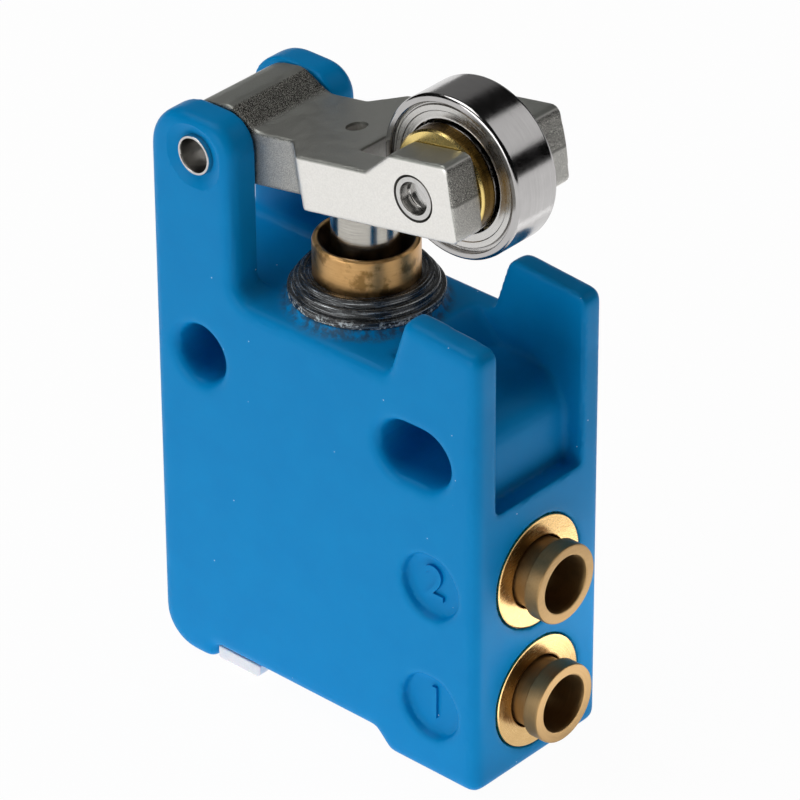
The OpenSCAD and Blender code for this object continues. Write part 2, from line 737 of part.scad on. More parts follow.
module release_collar(down) color("darkgoldenrod") at_port(down) {
    head_back = -collar_stroke - touch_gap;
    lead = 0.2;
    polygon([[tube_bore / 2 + lead, -collar_out], [collar_d / 2 - lead, -collar_out],
        [collar_d / 2, lead - collar_out], [collar_d / 2, head_back], [collar_neck_d / 2, head_back],
        [collar_neck_d / 2, collar_inner - collar_lip], [collar_d / 2, collar_inner - collar_lip],
        [collar_d / 2 - collar_lip, collar_inner], [tube_bore / 2, collar_inner],
        [tube_bore / 2, 2 * lead - collar_out]]);
}

// Toothed ring that holds the tube
module gripper(down) color("silver") difference() {
    at_port(down) polygon([[sleeve_room / 2 - seat_gap, gripper_at + gripper_t],
        [sleeve_room / 2 - seat_gap, gripper_at + gripper_t * 0.6],
        [tube_d / 2 + tooth_gap + tooth_t, gripper_at], [tube_d / 2 + tooth_gap, gripper_at + tooth_t],
        [sleeve_room / 2 - sleeve_wall, gripper_at + gripper_t]]);
    for (i = [0:5]) translate([port_x, 0, -down]) rotate([60 * i, 0, 0])
        translate([-gripper_at - gripper_t, 0, tube_d / 2]) cube([3 * gripper_t, tooth_slit, 2 * tooth_len], center = true);
}

module tube_seal(down) color("black") translate([port_x, 0, -down])
    translate([-(gripper_at + gripper_t + sleeve_depth) / 2, 0, 0]) rotate([0, 90, 0])
        oring(tube_bore / 2 + seat_gap, sleeve_room / 2 - seat_gap);

body();
pivot_pin();
lever();
roller_pin();
spacer_front();
spacer_rear();
bearing_inner_ring();
bearing_outer_ring();
bearing_balls();
ball_cage();
bearing_shield_front();
bearing_shield_rear();
plunger();
plunger_oring();
plunger_spring();
guide_bush();
gland_ring();
valve_seat();
poppet();
poppet_seal();
poppet_spring();
bottom_plug();
bottom_plug_oring();
exhaust_filter();
port_sleeve(supply_down);  // port_sleeve_1
port_sleeve(outlet_down);  // port_sleeve_2
release_collar(supply_down);  // release_collar_1
release_collar(outlet_down);  // release_collar_2
gripper(supply_down);  // gripper_1
gripper(outlet_down);  // gripper_2
tube_seal(supply_down);  // tube_seal_1
tube_seal(outlet_down);  // tube_seal_2
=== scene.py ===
# %% [markdown]
# # A roller lever air valve
# The construction comes packed, piece by piece, at its real size. This lesson gives each visible piece
# its moulded, turned or ground shape and its finish, and leaves every piece where the frame holds it.

# %% Load the frame
import json
import math

import bpy
from mathutils import Matrix, Vector


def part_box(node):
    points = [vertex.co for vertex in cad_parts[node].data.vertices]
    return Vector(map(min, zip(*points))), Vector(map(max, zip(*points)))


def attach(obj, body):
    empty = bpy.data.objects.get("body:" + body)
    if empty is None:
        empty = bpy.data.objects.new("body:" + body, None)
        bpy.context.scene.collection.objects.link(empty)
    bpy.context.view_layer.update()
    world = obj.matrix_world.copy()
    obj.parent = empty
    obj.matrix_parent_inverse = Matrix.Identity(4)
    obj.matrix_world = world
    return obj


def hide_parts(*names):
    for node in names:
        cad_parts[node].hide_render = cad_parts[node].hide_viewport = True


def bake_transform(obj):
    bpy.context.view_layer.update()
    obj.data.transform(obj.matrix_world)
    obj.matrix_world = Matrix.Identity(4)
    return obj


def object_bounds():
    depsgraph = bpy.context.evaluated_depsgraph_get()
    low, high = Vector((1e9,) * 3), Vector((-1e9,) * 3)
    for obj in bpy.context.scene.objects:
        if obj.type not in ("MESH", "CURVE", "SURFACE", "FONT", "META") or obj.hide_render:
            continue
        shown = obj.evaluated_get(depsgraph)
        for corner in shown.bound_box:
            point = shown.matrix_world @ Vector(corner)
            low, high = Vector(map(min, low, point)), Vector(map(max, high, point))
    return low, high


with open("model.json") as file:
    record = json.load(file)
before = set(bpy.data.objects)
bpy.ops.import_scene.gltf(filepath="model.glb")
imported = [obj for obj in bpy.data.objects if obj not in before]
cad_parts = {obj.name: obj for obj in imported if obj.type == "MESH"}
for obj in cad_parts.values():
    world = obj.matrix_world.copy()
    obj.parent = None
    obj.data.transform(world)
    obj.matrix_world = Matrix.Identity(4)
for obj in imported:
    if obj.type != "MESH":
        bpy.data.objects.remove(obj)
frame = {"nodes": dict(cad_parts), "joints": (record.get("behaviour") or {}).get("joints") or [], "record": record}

MM = 0.001
cad_low, cad_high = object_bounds()
print("solid model, mm:", [round(side / MM, 2) for side in cad_high - cad_low])

# %% [markdown]
# ## Measures from the frame
# A part of a few centimetres is easiest to model in millimetres, because Blender's own thresholds suit
# sizes near one. So each piece is made in millimetres and shrunk to metres when it is finished. The places
# could be typed in, but they are read from the frame: boxes of pieces, the points of the joints and the
# mounts. So the shapes stay on the solids that they dress.

# %% Measures


def span(node):
    """Lowest and highest corner of a node, in millimetres."""
    low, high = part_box(node)
    return low / MM, high / MM


def joint_point(name):
    """The point that a joint turns about, in millimetres."""
    joint = next(j for j in frame["joints"] if j["name"] == name)
    return Vector(joint["pos_m"]) / MM


def mount_point(name):
    """The place of a mount, in millimetres."""
    mount = next(m for m in frame["record"]["mounts"] if m["name"] == name)
    return Vector(mount["pos_m"]) / MM


BODY_LOW, BODY_HIGH = span("body")
HALF_T = BODY_HIGH.y
PIVOT = joint_point("lever_pivot")
ROLLER = joint_point("roller_spin")
LEVER_RUN = (ROLLER - PIVOT).length
LEVER_TILT = math.atan2(ROLLER.z - PIVOT.z, ROLLER.x - PIVOT.x)
SLOT_AT = mount_point("fixing_slot")
PORTS = {1: mount_point("supply_tube"), 2: mount_point("outlet_tube")}
BUSH_LOW, BUSH_HIGH = span("guide_bush")
VALVE_X = (BUSH_LOW.x + BUSH_HIGH.x) / 2
VALVE_AXIS = Vector((VALVE_X, 0, 0))
GLAND_FOOT = span("gland_ring")[0].z
print("lever, mm and degrees:", round(LEVER_RUN, 2), round(math.degrees(LEVER_TILT), 2))

# %% [markdown]
# ## Helpers for modelling
# These follow what a modeller does by hand: draw an outline by pulling one point along, fill it and push it
# through, or spin it round an axis. Edges are then picked by their place and rounded.

# %% Selecting


def alone(obj):
    """Object mode, with obj the only object that is selected."""
    if bpy.context.mode != "OBJECT":
        bpy.ops.object.mode_set(mode="OBJECT")
    bpy.ops.object.select_all(action="DESELECT")
    obj.select_set(True)
    bpy.context.view_layer.objects.active = obj
    return obj


def edit(obj, kind="VERT"):
    """Edit mode on obj, with nothing selected and the given select mode."""
    alone(obj)
    bpy.ops.object.mode_set(mode="EDIT")
    bpy.ops.mesh.select_mode(type=kind)
    bpy.ops.mesh.select_all(action="DESELECT")


def pick_edges(obj, rule):
    """Select the edges whose ends and middle all fit the rule, and stay in edit mode."""
    edit(obj, "EDGE")
    bpy.ops.object.mode_set(mode="OBJECT")
    for edge in obj.data.edges:
        start, end = (obj.data.vertices[i].co for i in edge.vertices)
        edge.select = all(rule(p) for p in (start, end, (start + end) / 2))
    bpy.ops.object.mode_set(mode="EDIT")


# %% Rounding, merging and modifiers
NEAR = 0.01
MERGE = 0.0005


def round_edges(obj, rule, width, segments=4, clamp=True):
    """Round the edges that fit the rule. Clamped, no rounding is wider than the tightest arc allows."""
    pick_edges(obj, rule)
    bpy.ops.mesh.bevel(offset=width, segments=segments, affect="EDGES", clamp_overlap=clamp)
    return alone(obj)


def tidy(obj):
    """Merge doubled points and turn all faces outwards."""
    edit(obj)
    bpy.ops.mesh.select_all(action="SELECT")
    bpy.ops.mesh.remove_doubles(threshold=MERGE)
    bpy.ops.mesh.normals_make_consistent(inside=False)
    return alone(obj)


def modify(obj, kind, **settings):
    """Add a modifier, set it and apply it."""
    alone(obj)
    modifier = obj.modifiers.new(kind.lower(), kind)
    for name, value in settings.items():
        setattr(modifier, name, value)
    bpy.ops.object.modifier_apply(modifier=modifier.name)
    return obj


def combine(obj, other, operation="DIFFERENCE"):
    """Cut another shape out of obj, or join the two, and drop the other."""
    modify(obj, "BOOLEAN", object=other, operation=operation, solver="EXACT")
    bpy.data.objects.remove(other)
    return obj


# %% [markdown]
# An outline is a list of corners, each with its own rounding. A bevel could round them later, but here each
# rounding is worked out as an arc that touches both sides of its corner, so that the same list serves hollow
# and outer corners.

# %% Outlines


def soften(corners, steps=8):
    """Points of an outline of (across, up, radius) corners, with an arc at each rounded corner."""
    points = []
    for i, (across, up, radius) in enumerate(corners):
        here = Vector((across, up))
        if radius == 0:
            points.append(here)
            continue
        back = (Vector(corners[i - 1][:2]) - here).normalized()
        ahead = (Vector(corners[(i + 1) % len(corners)][:2]) - here).normalized()
        half = back.angle(ahead) / 2
        middle = here + (back + ahead).normalized() * radius / math.sin(half)
        start = here + back * radius / math.tan(half) - middle
        end = here + ahead * radius / math.tan(half) - middle
        for step in range(steps + 1):
            points.append(middle + radius * start.slerp(end, step / steps))
    return points


def trace(name, points):
    """A chain of edges through 3-D points, drawn by extruding one vertex. Stays in edit mode."""
    if bpy.context.mode != "OBJECT":
        bpy.ops.object.mode_set(mode="OBJECT")
    bpy.ops.object.select_all(action="DESELECT")
    bpy.ops.mesh.primitive_plane_add(size=1)
    obj = bpy.context.object
    obj.name = name
    bpy.ops.object.mode_set(mode="EDIT")
    bpy.ops.mesh.select_mode(type="VERT")
    bpy.ops.mesh.select_all(action="SELECT")
    bpy.ops.mesh.merge(type="CENTER")
    bpy.ops.transform.translate(value=points[0])
    for here, there in zip(points, points[1:]):
        bpy.ops.mesh.extrude_region_move(TRANSFORM_OT_translate={"value": there - here})
    return obj


# %% Pushed and turned shapes
TURNS = {
    "Z": Matrix.Identity(4),
    "Y": Matrix.Rotation(-math.pi / 2, 4, "X"),
    "X": Matrix.Rotation(math.pi / 2, 4, "Y"),
}


def prism(name, outline, low, high, flat="XZ"):
    """An outline filled and pushed through: along Y if it is drawn in XZ, along Z if in XY."""
    if flat == "XZ":
        points = [Vector((p.x, low, p.y)) for p in outline]
        push = Vector((0, high - low, 0))
    else:
        points = [Vector((p.x, p.y, low)) for p in outline]
        push = Vector((0, 0, high - low))
    obj = trace(name, points)
    bpy.ops.mesh.select_all(action="SELECT")
    bpy.ops.mesh.edge_face_add()
    bpy.ops.mesh.extrude_region_move(TRANSFORM_OT_translate={"value": push})
    return tidy(obj)


def turned(name, profile, axis="Z", at=(0, 0, 0), closed=True, steps=96):
    """A profile of (radius, distance) points spun round an axis through a point."""
    points = [Vector((radius, 0, along)) for radius, along in profile]
    obj = trace(name, points + points[:1] if closed else points)
    bpy.ops.mesh.select_all(action="SELECT")
    bpy.ops.mesh.spin(steps=steps, angle=2 * math.pi, center=(0, 0, 0), axis=(0, 0, 1))
    tidy(obj)
    obj.matrix_world = Matrix.Translation(at) @ TURNS[axis]
    bpy.ops.object.transform_apply(location=True, rotation=True, scale=True)
    return obj


def rod(name, radius, low, high, axis="Z", at=(0, 0, 0), steps=96):
    """A plain round bar, used as a cutter."""
    return turned(name, [(0, low), (radius, low), (radius, high), (0, high)], axis, at, False, steps)


# %% [markdown]
# ## Shaders as expressions
# A finish is worked out from the point on the piece. A small class wraps a node's socket, so that a sum or a
# product in Python adds the Math node for it, and one method makes every other kind of node.

# %% Values


class Value:
    """What a node's socket gives. Numbers among them take part in Python sums."""

    def __init__(self, nodes, socket):
        self.nodes = nodes
        self.socket = socket

    def math(self, operation, first, second):
        """The Math node of one operation."""
        return self.nodes.node("ShaderNodeMath", {"operation": operation}, {0: first, 1: second})

    def __add__(self, other):
        return self.math("ADD", self, other)

    def __radd__(self, other):
        return self.math("ADD", other, self)

    def __sub__(self, other):
        return self.math("SUBTRACT", self, other)

    def __rsub__(self, other):
        return self.math("SUBTRACT", other, self)

    def __mul__(self, other):
        return self.math("MULTIPLY", self, other)

    def __rmul__(self, other):
        return self.math("MULTIPLY", other, self)

    def __pow__(self, other):
        return self.math("POWER", self, other)

    def __rpow__(self, other):
        return self.math("POWER", other, self)

    def __abs__(self):
        return self.math("ABSOLUTE", self, 0.0)


# %% Nodes


class Nodes:
    """A node tree, and the node at its end that the values feed."""

    def __init__(self, tree, end):
        self.tree = tree
        self.end = tree.nodes[end]

    def node(self, kind, settings=None, inputs=None, out=0):
        """Make a node, set it, fill its sockets with numbers or links, and return one of its outputs."""
        made = self.tree.nodes.new(kind)
        for name, value in (settings or {}).items():
            setattr(made, name, value)
        for name, value in (inputs or {}).items():
            if isinstance(value, Value):
                self.tree.links.new(value.socket, made.inputs[name])
            else:
                made.inputs[name].default_value = value
        return Value(self, made.outputs[out])

    def split(self, vector):
        """The three numbers of a vector."""
        made = self.node("ShaderNodeSeparateXYZ", None, {"Vector": vector}).socket.node
        return [Value(self, socket) for socket in made.outputs]

    def feed(self, **links):
        """Link values to the sockets of the end."""
        for socket, value in links.items():
            self.tree.links.new(value.socket, self.end.inputs[socket.replace("_", " ")])


# %% Finishes
AXIS_ORDER = {"X": (0, 1, 2), "Y": (1, 0, 2), "Z": (2, 0, 1)}
NOISE_LOW = 0.3
NOISE_HIGH = 0.7


class Finish(Nodes):
    """A material with a Principled shader at its end."""

    def __init__(self, name, **constants):
        self.material = bpy.data.materials.new(name)
        self.material.use_nodes = True
        super().__init__(self.material.node_tree, "Principled BSDF")
        for socket, value in constants.items():
            self.end.inputs[socket.replace("_", " ")].default_value = value

    def point(self, centre=(0, 0, 0), turn=0.0):
        """The point on the piece in millimetres, measured from a centre and turned back about Y."""
        place = self.node("ShaderNodeTexCoord", out="Object")
        scaled = self.node("ShaderNodeMapping", {"vector_type": "POINT"}, {
            "Vector": place, "Scale": (1 / MM, 1 / MM, 1 / MM), "Location": tuple(-Vector(centre))})
        if turn == 0:
            return scaled
        return self.node("ShaderNodeMapping", {"vector_type": "POINT"}, {
            "Vector": scaled, "Rotation": (0, turn, 0)})

    def polar(self, axis, centre):
        """The distance from an axis, the place along it and one place across it."""
        places = self.split(self.point(centre))
        along, one, two = (places[i] for i in AXIS_ORDER[axis])
        return (one * one + two * two) ** 0.5, along, one

    def noise(self, vector, scale, detail=3.0, roughness=0.55):
        """Cloudy noise from 0 to 1."""
        return self.node("ShaderNodeTexNoise", {"noise_dimensions": "3D"}, {
            "Vector": vector, "Scale": scale, "Detail": detail, "Roughness": roughness})

    def between(self, value, low, high, to_low, to_high):
        """Value rescaled from one range to another with soft ends."""
        return self.node("ShaderNodeMapRange", {"interpolation_type": "SMOOTHSTEP", "clamp": True}, {
            "Value": value, "From Min": low, "From Max": high, "To Min": to_low, "To Max": to_high})

    def above(self, value, low, high):
        """A mask that rises from 0 at low to 1 at high."""
        return self.between(value, low, high, 0.0, 1.0)

    def below(self, value, low, high):
        """A mask that falls from 1 at low to 0 at high."""
        return self.between(value, low, high, 1.0, 0.0)

    def rough(self, noise, low, high):
        """A roughness that follows a noise from low to high."""
        return self.between(noise, NOISE_LOW, NOISE_HIGH, low, high)

    def mix(self, factor, first, second):
        """One colour turning into another."""
        return self.node("ShaderNodeMix", {"data_type": "RGBA", "clamp_factor": True}, {
            0: factor, 6: first, 7: second}, out=2)

    def bump(self, height, strength, distance):
        """A surface normal from a height. The distance is in millimetres."""
        return self.node("ShaderNodeBump", None, {
            "Height": height, "Strength": strength, "Distance": distance * MM})

    def feed(self, **links):
        """Link values to the shader, and give the finished material."""
        super().feed(**links)
        print(f"{self.material.name}: {len(self.tree.nodes)} nodes")
        return self.material


def rgb(red, green, blue):
    """A screen colour, 0 to 255, as the linear colour that a shader takes."""
    def linear(level):
        level /= 255
        return level / 12.92 if level <= 0.04045 else ((level + 0.055) / 1.055) ** 2.4
    return (linear(red), linear(green), linear(blue), 1.0)


FINISHES = {}

# %% [markdown]
# ### Moulded blue plastic
# The body is a glass-filled plastic with a satin skin. Its colour is even, with a faint cloudiness, a few
# pale specks of dust and some grime round the gland. The specks could be tiny meshes. Here they are the
# points of a sparse cell pattern, which needs no faces.

# %% Blue plastic
DEEP_BLUE = rgb(0, 126, 190)
PALE_BLUE = rgb(6, 136, 198)
DUST = rgb(215, 235, 245)
GRIME = rgb(58, 60, 54)
GRIME_IN = 5.5
GRIME_OUT = 6.4


def blue_plastic():
    """Satin blue with dust on it and grime round the gland."""
    finish = Finish("body_blue", IOR=1.45, Specular_IOR_Level=0.085)
    point = finish.point()
    cloud = finish.noise(point, 0.35, 4)
    grain = finish.noise(point, 9.0, 3)
    cells = finish.node("ShaderNodeTexVoronoi", {"feature": "F1"}, {"Vector": point, "Scale": 0.55},
                        out="Distance")
    speck = finish.below(cells, 0.022, 0.034)
    radius, up = finish.polar("Z", VALVE_AXIS)[:2]
    near = finish.below(radius, GRIME_IN, GRIME_OUT) * finish.above(up, GLAND_FOOT - 1.3, GLAND_FOOT - 1.0)
    grimy = near * finish.above(finish.noise(point, 1.6, 5, 0.7), 0.36, 0.6)
    blue = finish.mix(grimy * 0.75, finish.mix(cloud, DEEP_BLUE, PALE_BLUE), GRIME)
    return finish.feed(
        Base_Color=finish.mix(speck * 0.75, blue, DUST),
        Roughness=finish.rough(cloud * 0.5 + grain * 0.5, 0.3, 0.42),
        Normal=finish.bump(grain, 0.12, 0.05))


FINISHES["body_blue"] = blue_plastic()

# %% [markdown]
# ### Cast lever steel
# The lever is cast and tumbled. Its flat top and the roof of its barrel are smooth, and painted darker as a
# painted shade for the dark room that these upward faces mirror, while the slope beside the barrel, the neck
# and the ends of the arms keep their sandy skin, with a parting line across each end. The skins could be
# painted by hand. Worked out along the lever, they follow its measures, so the point is first turned back by the
# lever's tilt.

# %% Lever measures
UNDER = -2.85
BARREL_TOP = 2.9
ROOF_END = 1.4
SLOPE_END = 3.6
PLATE = 1.25
NECK_HALF = 3.8
NECK_END = 7.1
FORK_HALF = 5.75
FORK_START = 9.2
ARM_T = 2.6
NOSE = 3.7
NOSE_LEAN = 0.2
lever_end = LEVER_RUN + NOSE
fork_root = LEVER_RUN - 7.2
rise_foot = LEVER_RUN - 4.1
rise_top = LEVER_RUN - 1.6
print("lever, mm from the pivot to its end:", round(lever_end, 2))

# %% Lever steel
TUMBLED_DARK = rgb(212, 210, 205)
TUMBLED_LIGHT = rgb(246, 244, 240)
SAND_DARK = rgb(34, 34, 31)
SAND_LIGHT = rgb(182, 180, 172)
# Painted shade: the flat tops are darker because they face the dark room above.
TOP_PAINTED_SHADE = rgb(112, 117, 108)
PARTING = rgb(30, 31, 28)


def lever_steel():
    """Tumbled steel with painted shade on its tops, sandy slope, neck and ends, and a parting line."""
    finish = Finish("lever_steel", Metallic=1.0)
    point = finish.point(PIVOT, LEVER_TILT)
    grain = finish.noise(point, 7.0, 4, 0.65)
    sand = finish.noise(point, 16.0, 2, 0.5)
    blotch = finish.noise(point, 1.1, 3)
    across, through, up = finish.split(point)

    slope = finish.above(across, ROOF_END - 0.1, ROOF_END + 0.3)
    slope = slope * finish.below(across, SLOPE_END - 0.6, SLOPE_END + 0.2)
    slope = slope * finish.above(up, PLATE - 0.2, PLATE + 0.1)
    neck = finish.above(abs(through), NECK_HALF - 0.08, NECK_HALF - 0.02)
    neck = neck * finish.below(across, NECK_END - 0.1, NECK_END + 0.2)
    nose = finish.above(across, lever_end - 0.4, lever_end - 0.25)
    sandy = finish.above(slope + neck * 0.55 + nose * 0.75, 0.0, 1.0)

    # Painted shade on the flat top of the plate and the roof of the barrel, which face the dark room.
    plate = finish.above(up, PLATE - 0.27, PLATE - 0.15)
    plate = plate * finish.above(across, SLOPE_END - 0.6, SLOPE_END - 0.2)
    plate = plate * finish.below(across, rise_foot - 0.2, rise_foot + 0.2)
    roof_painted_shade = finish.above(up, BARREL_TOP - 0.28, BARREL_TOP - 0.16)
    upper = finish.above(up, -0.12, 0.12)
    parting = finish.below(abs(up), 0.05, 0.16) * nose

    smooth = finish.mix(grain, TUMBLED_DARK, TUMBLED_LIGHT)
    smooth = finish.mix(plate * 0.6 + roof_painted_shade * 0.7, smooth, TOP_PAINTED_SHADE)
    coarse = finish.mix(finish.above(sand, 0.42, 0.66), SAND_DARK, SAND_LIGHT)
    shade = finish.mix(sandy * (1.0 - nose * (1.0 - upper) * 0.35), smooth, coarse)
    return finish.feed(
        Base_Color=finish.mix(parting * 0.4, shade, PARTING),
        Roughness=finish.rough(grain * 0.6 + blotch * 0.4, 0.34, 0.5) + sandy * 0.12,
        Normal=finish.bump(grain + sand * sandy * 1.6, 0.4, 0.07))


FINISHES["lever_steel"] = lever_steel()

# %% [markdown]
# ### Turned and ground metals
# A lathe or a grinding wheel leaves fine rings. They could be modelled as grooves, but they are far finer
# than a mesh should be. One function makes them for all metals: it measures the distance from the axis and
# along it, and uses both to draw noise that runs round the piece.

# %% Turned metals


def lathe_marks(finish, axis, centre, rings):
    """Fine rings round an axis, so many to a millimetre, and a cloudy blotch."""
    radius, along, one = finish.polar(axis, centre)
    ringed = finish.node("ShaderNodeCombineXYZ", None, {0: radius * rings, 1: along * rings, 2: one * 0.6})
    return finish.noise(ringed, 1.0, 3, 0.6), finish.noise(finish.point(centre), 0.9, 4, 0.6)


def turned_metal(name, light, dark, rough, axis, centre, rings=14.0):
    """A plain turned metal, from a dark to a light shade and between two roughnesses."""
    finish = Finish(name, Metallic=1.0)
    lines, blotch = lathe_marks(finish, axis, centre, rings)
    return finish.feed(
        Base_Color=finish.mix(lines * 0.6 + blotch * 0.4, rgb(*dark), rgb(*light)),
        Roughness=finish.rough(lines * 0.5 + blotch * 0.5, *rough),
        Normal=finish.bump(lines, 0.12, 0.03))


# light shade, dark shade, roughness, axis, a point on the axis, and rings where they aren't the usual ones
TURNED_METALS = {
    "pin_steel": ((225, 224, 222), (170, 168, 165), (0.12, 0.26), "Y", (0, 0, 0)),
    "bearing_steel": ((200, 198, 197), (164, 162, 161), (0.13, 0.19), "Y", ROLLER),
    "shield_steel": ((222, 220, 217), (186, 184, 181), (0.2, 0.34), "Y", ROLLER),
    "plunger_steel": ((214, 211, 203), (128, 124, 116), (0.12, 0.25), "Z", VALVE_AXIS),
    "collar_brass": ((186, 154, 108), (122, 96, 60), (0.42, 0.56), "X", PORTS[1], 8.0),
    "spring_steel": ((170, 172, 178), (120, 122, 128), (0.2, 0.35), "Z", VALVE_AXIS),
}
for metal, recipe in TURNED_METALS.items():
    FINISHES[metal] = turned_metal(metal, *recipe)

# %% [markdown]
# ### Brass and bronze
# The sleeves of the ports are bright brass. The rims of the spacers beside the roller are painted dark olive,
# a painted reflection of the dark groove and room that they mirror, and their faces get a painted highlight.
# Both are one material, so the height on the valve tells which is which. The bush is bronze that oil has
# stained outside, and it is painted near black inside its mouth.

# %% Brass
SPACER_EDGE = 3.0


def brass():
    """Bright brass on the sleeves; painted reflection on the spacer rims, painted highlight on their faces."""
    finish = Finish("brass", Metallic=1.0)
    lines, blotch = lathe_marks(finish, "X", PORTS[1], 10.0)
    bright = finish.mix(lines * 0.6 + blotch * 0.4, rgb(186, 146, 86), rgb(238, 202, 144))
    rings, cloud = lathe_marks(finish, "Y", ROLLER, 10.0)
    # Painted reflection: the rims of the spacers are dark olive, for the dark groove and room that they mirror.
    rim_painted_reflection = finish.mix(rings * 0.6 + cloud * 0.4, rgb(80, 60, 24), rgb(150, 118, 58))
    deep = finish.split(finish.point(ROLLER))[1]
    # Painted highlight: the faces of the spacers are pale gold.
    face_painted_highlight = finish.above(abs(deep), SPACER_EDGE - 0.08, SPACER_EDGE + 0.06)
    spacer = finish.mix(face_painted_highlight, rim_painted_reflection, rgb(246, 218, 140))
    high = finish.above(finish.split(finish.point())[2], 0.0, 4.0)
    return finish.feed(
        Base_Color=finish.mix(high, bright, spacer),
        Roughness=finish.rough(lines * 0.5 + blotch * 0.5, 0.18, 0.32),
        Normal=finish.bump(lines, 0.12, 0.03))


FINISHES["brass"] = brass()

# %% Bronze
BUSH_MOUTH_R = 3.45


def bronze():
    """Pale bronze, stained by oil outside and painted near black inside its mouth."""
    finish = Finish("bronze", Metallic=1.0)
    lines, blotch = lathe_marks(finish, "Z", VALVE_AXIS, 6.0)
    oil = finish.noise(finish.point(VALVE_AXIS), 0.55, 4, 0.6)
    skin = finish.mix(lines * 0.5 + blotch * 0.5, rgb(160, 118, 70), rgb(226, 184, 126))
    stained = finish.mix(finish.above(oil, 0.5, 0.62) * 0.7, skin, rgb(104, 76, 34))
    radius = finish.polar("Z", VALVE_AXIS)[0]
    # Inside its mouth the bronze is painted near black.
    inside = finish.below(radius, BUSH_MOUTH_R - 0.11, BUSH_MOUTH_R + 0.05)
    return finish.feed(
        Base_Color=finish.mix(inside * 0.9, stained, rgb(40, 28, 16)),
        Roughness=finish.rough(lines * 0.5 + blotch * 0.5, 0.3, 0.44),
        Normal=finish.bump(lines, 0.2, 0.03))


FINISHES["bronze"] = bronze()

# %% [markdown]
# ### Blackened gland, rubber and small parts
# The gland ring is blackened. Its rings are worn down to the metal in places, and a pale crust clings to its
# foot. Blacking is no metal, so the finish is metallic only where it is worn. Seals, cage and filter pad are
# mostly hidden, and get plain finishes with their own grain.

# %% Gland black
BLACKING = rgb(30, 32, 34)
WORN_METAL = rgb(178, 182, 184)
CRUST = rgb(196, 204, 206)


def gland_black():
    """Blacking with worn rings, and crust round the foot."""
    finish = Finish("gland_black")
    lines = lathe_marks(finish, "Z", VALVE_AXIS, 12.0)[0]
    point = finish.point(VALVE_AXIS)
    scuff = finish.noise(point, 2.4, 5, 0.7)
    worn = finish.above(lines * 0.9 + scuff * 0.1, 0.5, 0.68)
    up = finish.split(point)[2]
    crust = finish.above(finish.noise(point, 3.4, 4, 0.7), 0.53, 0.6)
    crust = crust * finish.below(up, GLAND_FOOT + 0.25, GLAND_FOOT + 0.7)
    return finish.feed(
        Base_Color=finish.mix(crust * 0.85, finish.mix(worn, BLACKING, WORN_METAL), CRUST),
        Metallic=(1.0 - crust) * (worn * 0.75 + 0.15),
        Roughness=finish.rough(scuff, 0.16, 0.34) + crust * 0.4,
        Normal=finish.bump(lines, 0.2, 0.03))


FINISHES["gland_black"] = gland_black()

# %% Grained finishes


def grained(name, light, dark, rough, scale, **constants):
    """A plain material with a fine grain, from a dark to a light shade."""
    finish = Finish(name, **constants)
    grain = finish.noise(finish.point(), scale, 4, 0.6)
    return finish.feed(
        Base_Color=finish.mix(grain, rgb(*dark), rgb(*light)),
        Roughness=finish.rough(grain, *rough),
        Normal=finish.bump(grain, 0.3, 0.05))


FINISHES["seal_rubber"] = grained("seal_rubber", (34, 34, 35), (18, 18, 19), (0.45, 0.6), 6.0)
FINISHES["cage_polymer"] = grained("cage_polymer", (214, 200, 160), (186, 170, 128), (0.4, 0.55), 5.0)
FINISHES["filter_white"] = grained("filter_white", (240, 240, 242), (206, 208, 214), (0.6, 0.8), 7.0,
                                   Subsurface_Weight=0.2, Subsurface_Scale=0.0005)

# %% [markdown]
# ## Painting and settling
# Each solid gets the finish of its slot, because those that no new piece replaces stay in view. A new piece
# is settled when its shape is done: its soft edges are smoothed, it is shrunk to metres and painted, and it
# takes the place of its solid, on the same body unless another piece presses it.

# %% Painting the solids
SLOT_OF = {part["node"]: part["material_slot"] for part in frame["record"]["subparts"]}
BODY_OF = {node: body for body, nodes in frame["record"]["behaviour"]["bodies"].items() for node in nodes}


def paint(obj, node):
    """Give obj the finish of a node, and no other."""
    obj.data.materials.clear()
    obj.data.materials.append(FINISHES[SLOT_OF[node]])


for node, obj in frame["nodes"].items():
    paint(obj, node)
print("solids painted:", len(frame["nodes"]), "with", len(FINISHES), "finishes")

# %% Settling a piece


def settle(obj, node, smooth=35.0, pressed_by=None):
    """Finish a piece and let it stand for its node.

    It rides on the node's body; given a piece that presses it, it is left unparented where it stands.
    """
    alone(obj)
    bpy.ops.object.shade_smooth_by_angle(angle=math.radians(smooth))
    modify(obj, "WEIGHTED_NORMAL", weight=80, keep_sharp=True)
    obj.scale = (MM, MM, MM)
    bpy.ops.object.transform_apply(location=True, rotation=True, scale=True)
    paint(obj, node)
    if pressed_by is None:
        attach(obj, BODY_OF[node])
    else:
        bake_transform(obj)
    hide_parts(node)
    print(f"{obj.name}: {len(obj.data.polygons)} faces")
    return obj


# %% [markdown]
# ## The moulded body
# The body is one moulding: a flat block with two ears for the pivot, two posts beside the roller and a
# channel between the posts. It starts as its side outline, pushed through the thickness and rounded along
# both rims. The gaps between the ears and the posts could be left out of boxes that are joined. They are
# cut out instead, with shapes whose own edges are rounded, which leaves hollow fillets where the moulding
# has them.

# %% Body block
LEDGE = 5.7
HEEL_FOOT = 5.1
HEEL_R = 3.0
PORT_FOOT = 8.3
FOOT_H = 1.4
RECESS_R = 0.4
EAR_LEN = 7.8
EAR_BACK_R = 3.4
EAR_FRONT_R = 2.3
EAR_ROOT_R = 1.5
POST_LEN = 6.8
POST_LEAN = 1.5
POST_TOP = LEDGE + 4.7
POST_FALL = 0.5
POST_ROOT_R = 0.6
SIDE_R = 0.9
CORNER_R = SIDE_R + 0.05

left, right, foot, top = BODY_LOW.x, BODY_HIGH.x, BODY_LOW.z, BODY_HIGH.z
ear_x = left + EAR_LEN
recess = foot + FOOT_H
post_x = right - POST_LEN

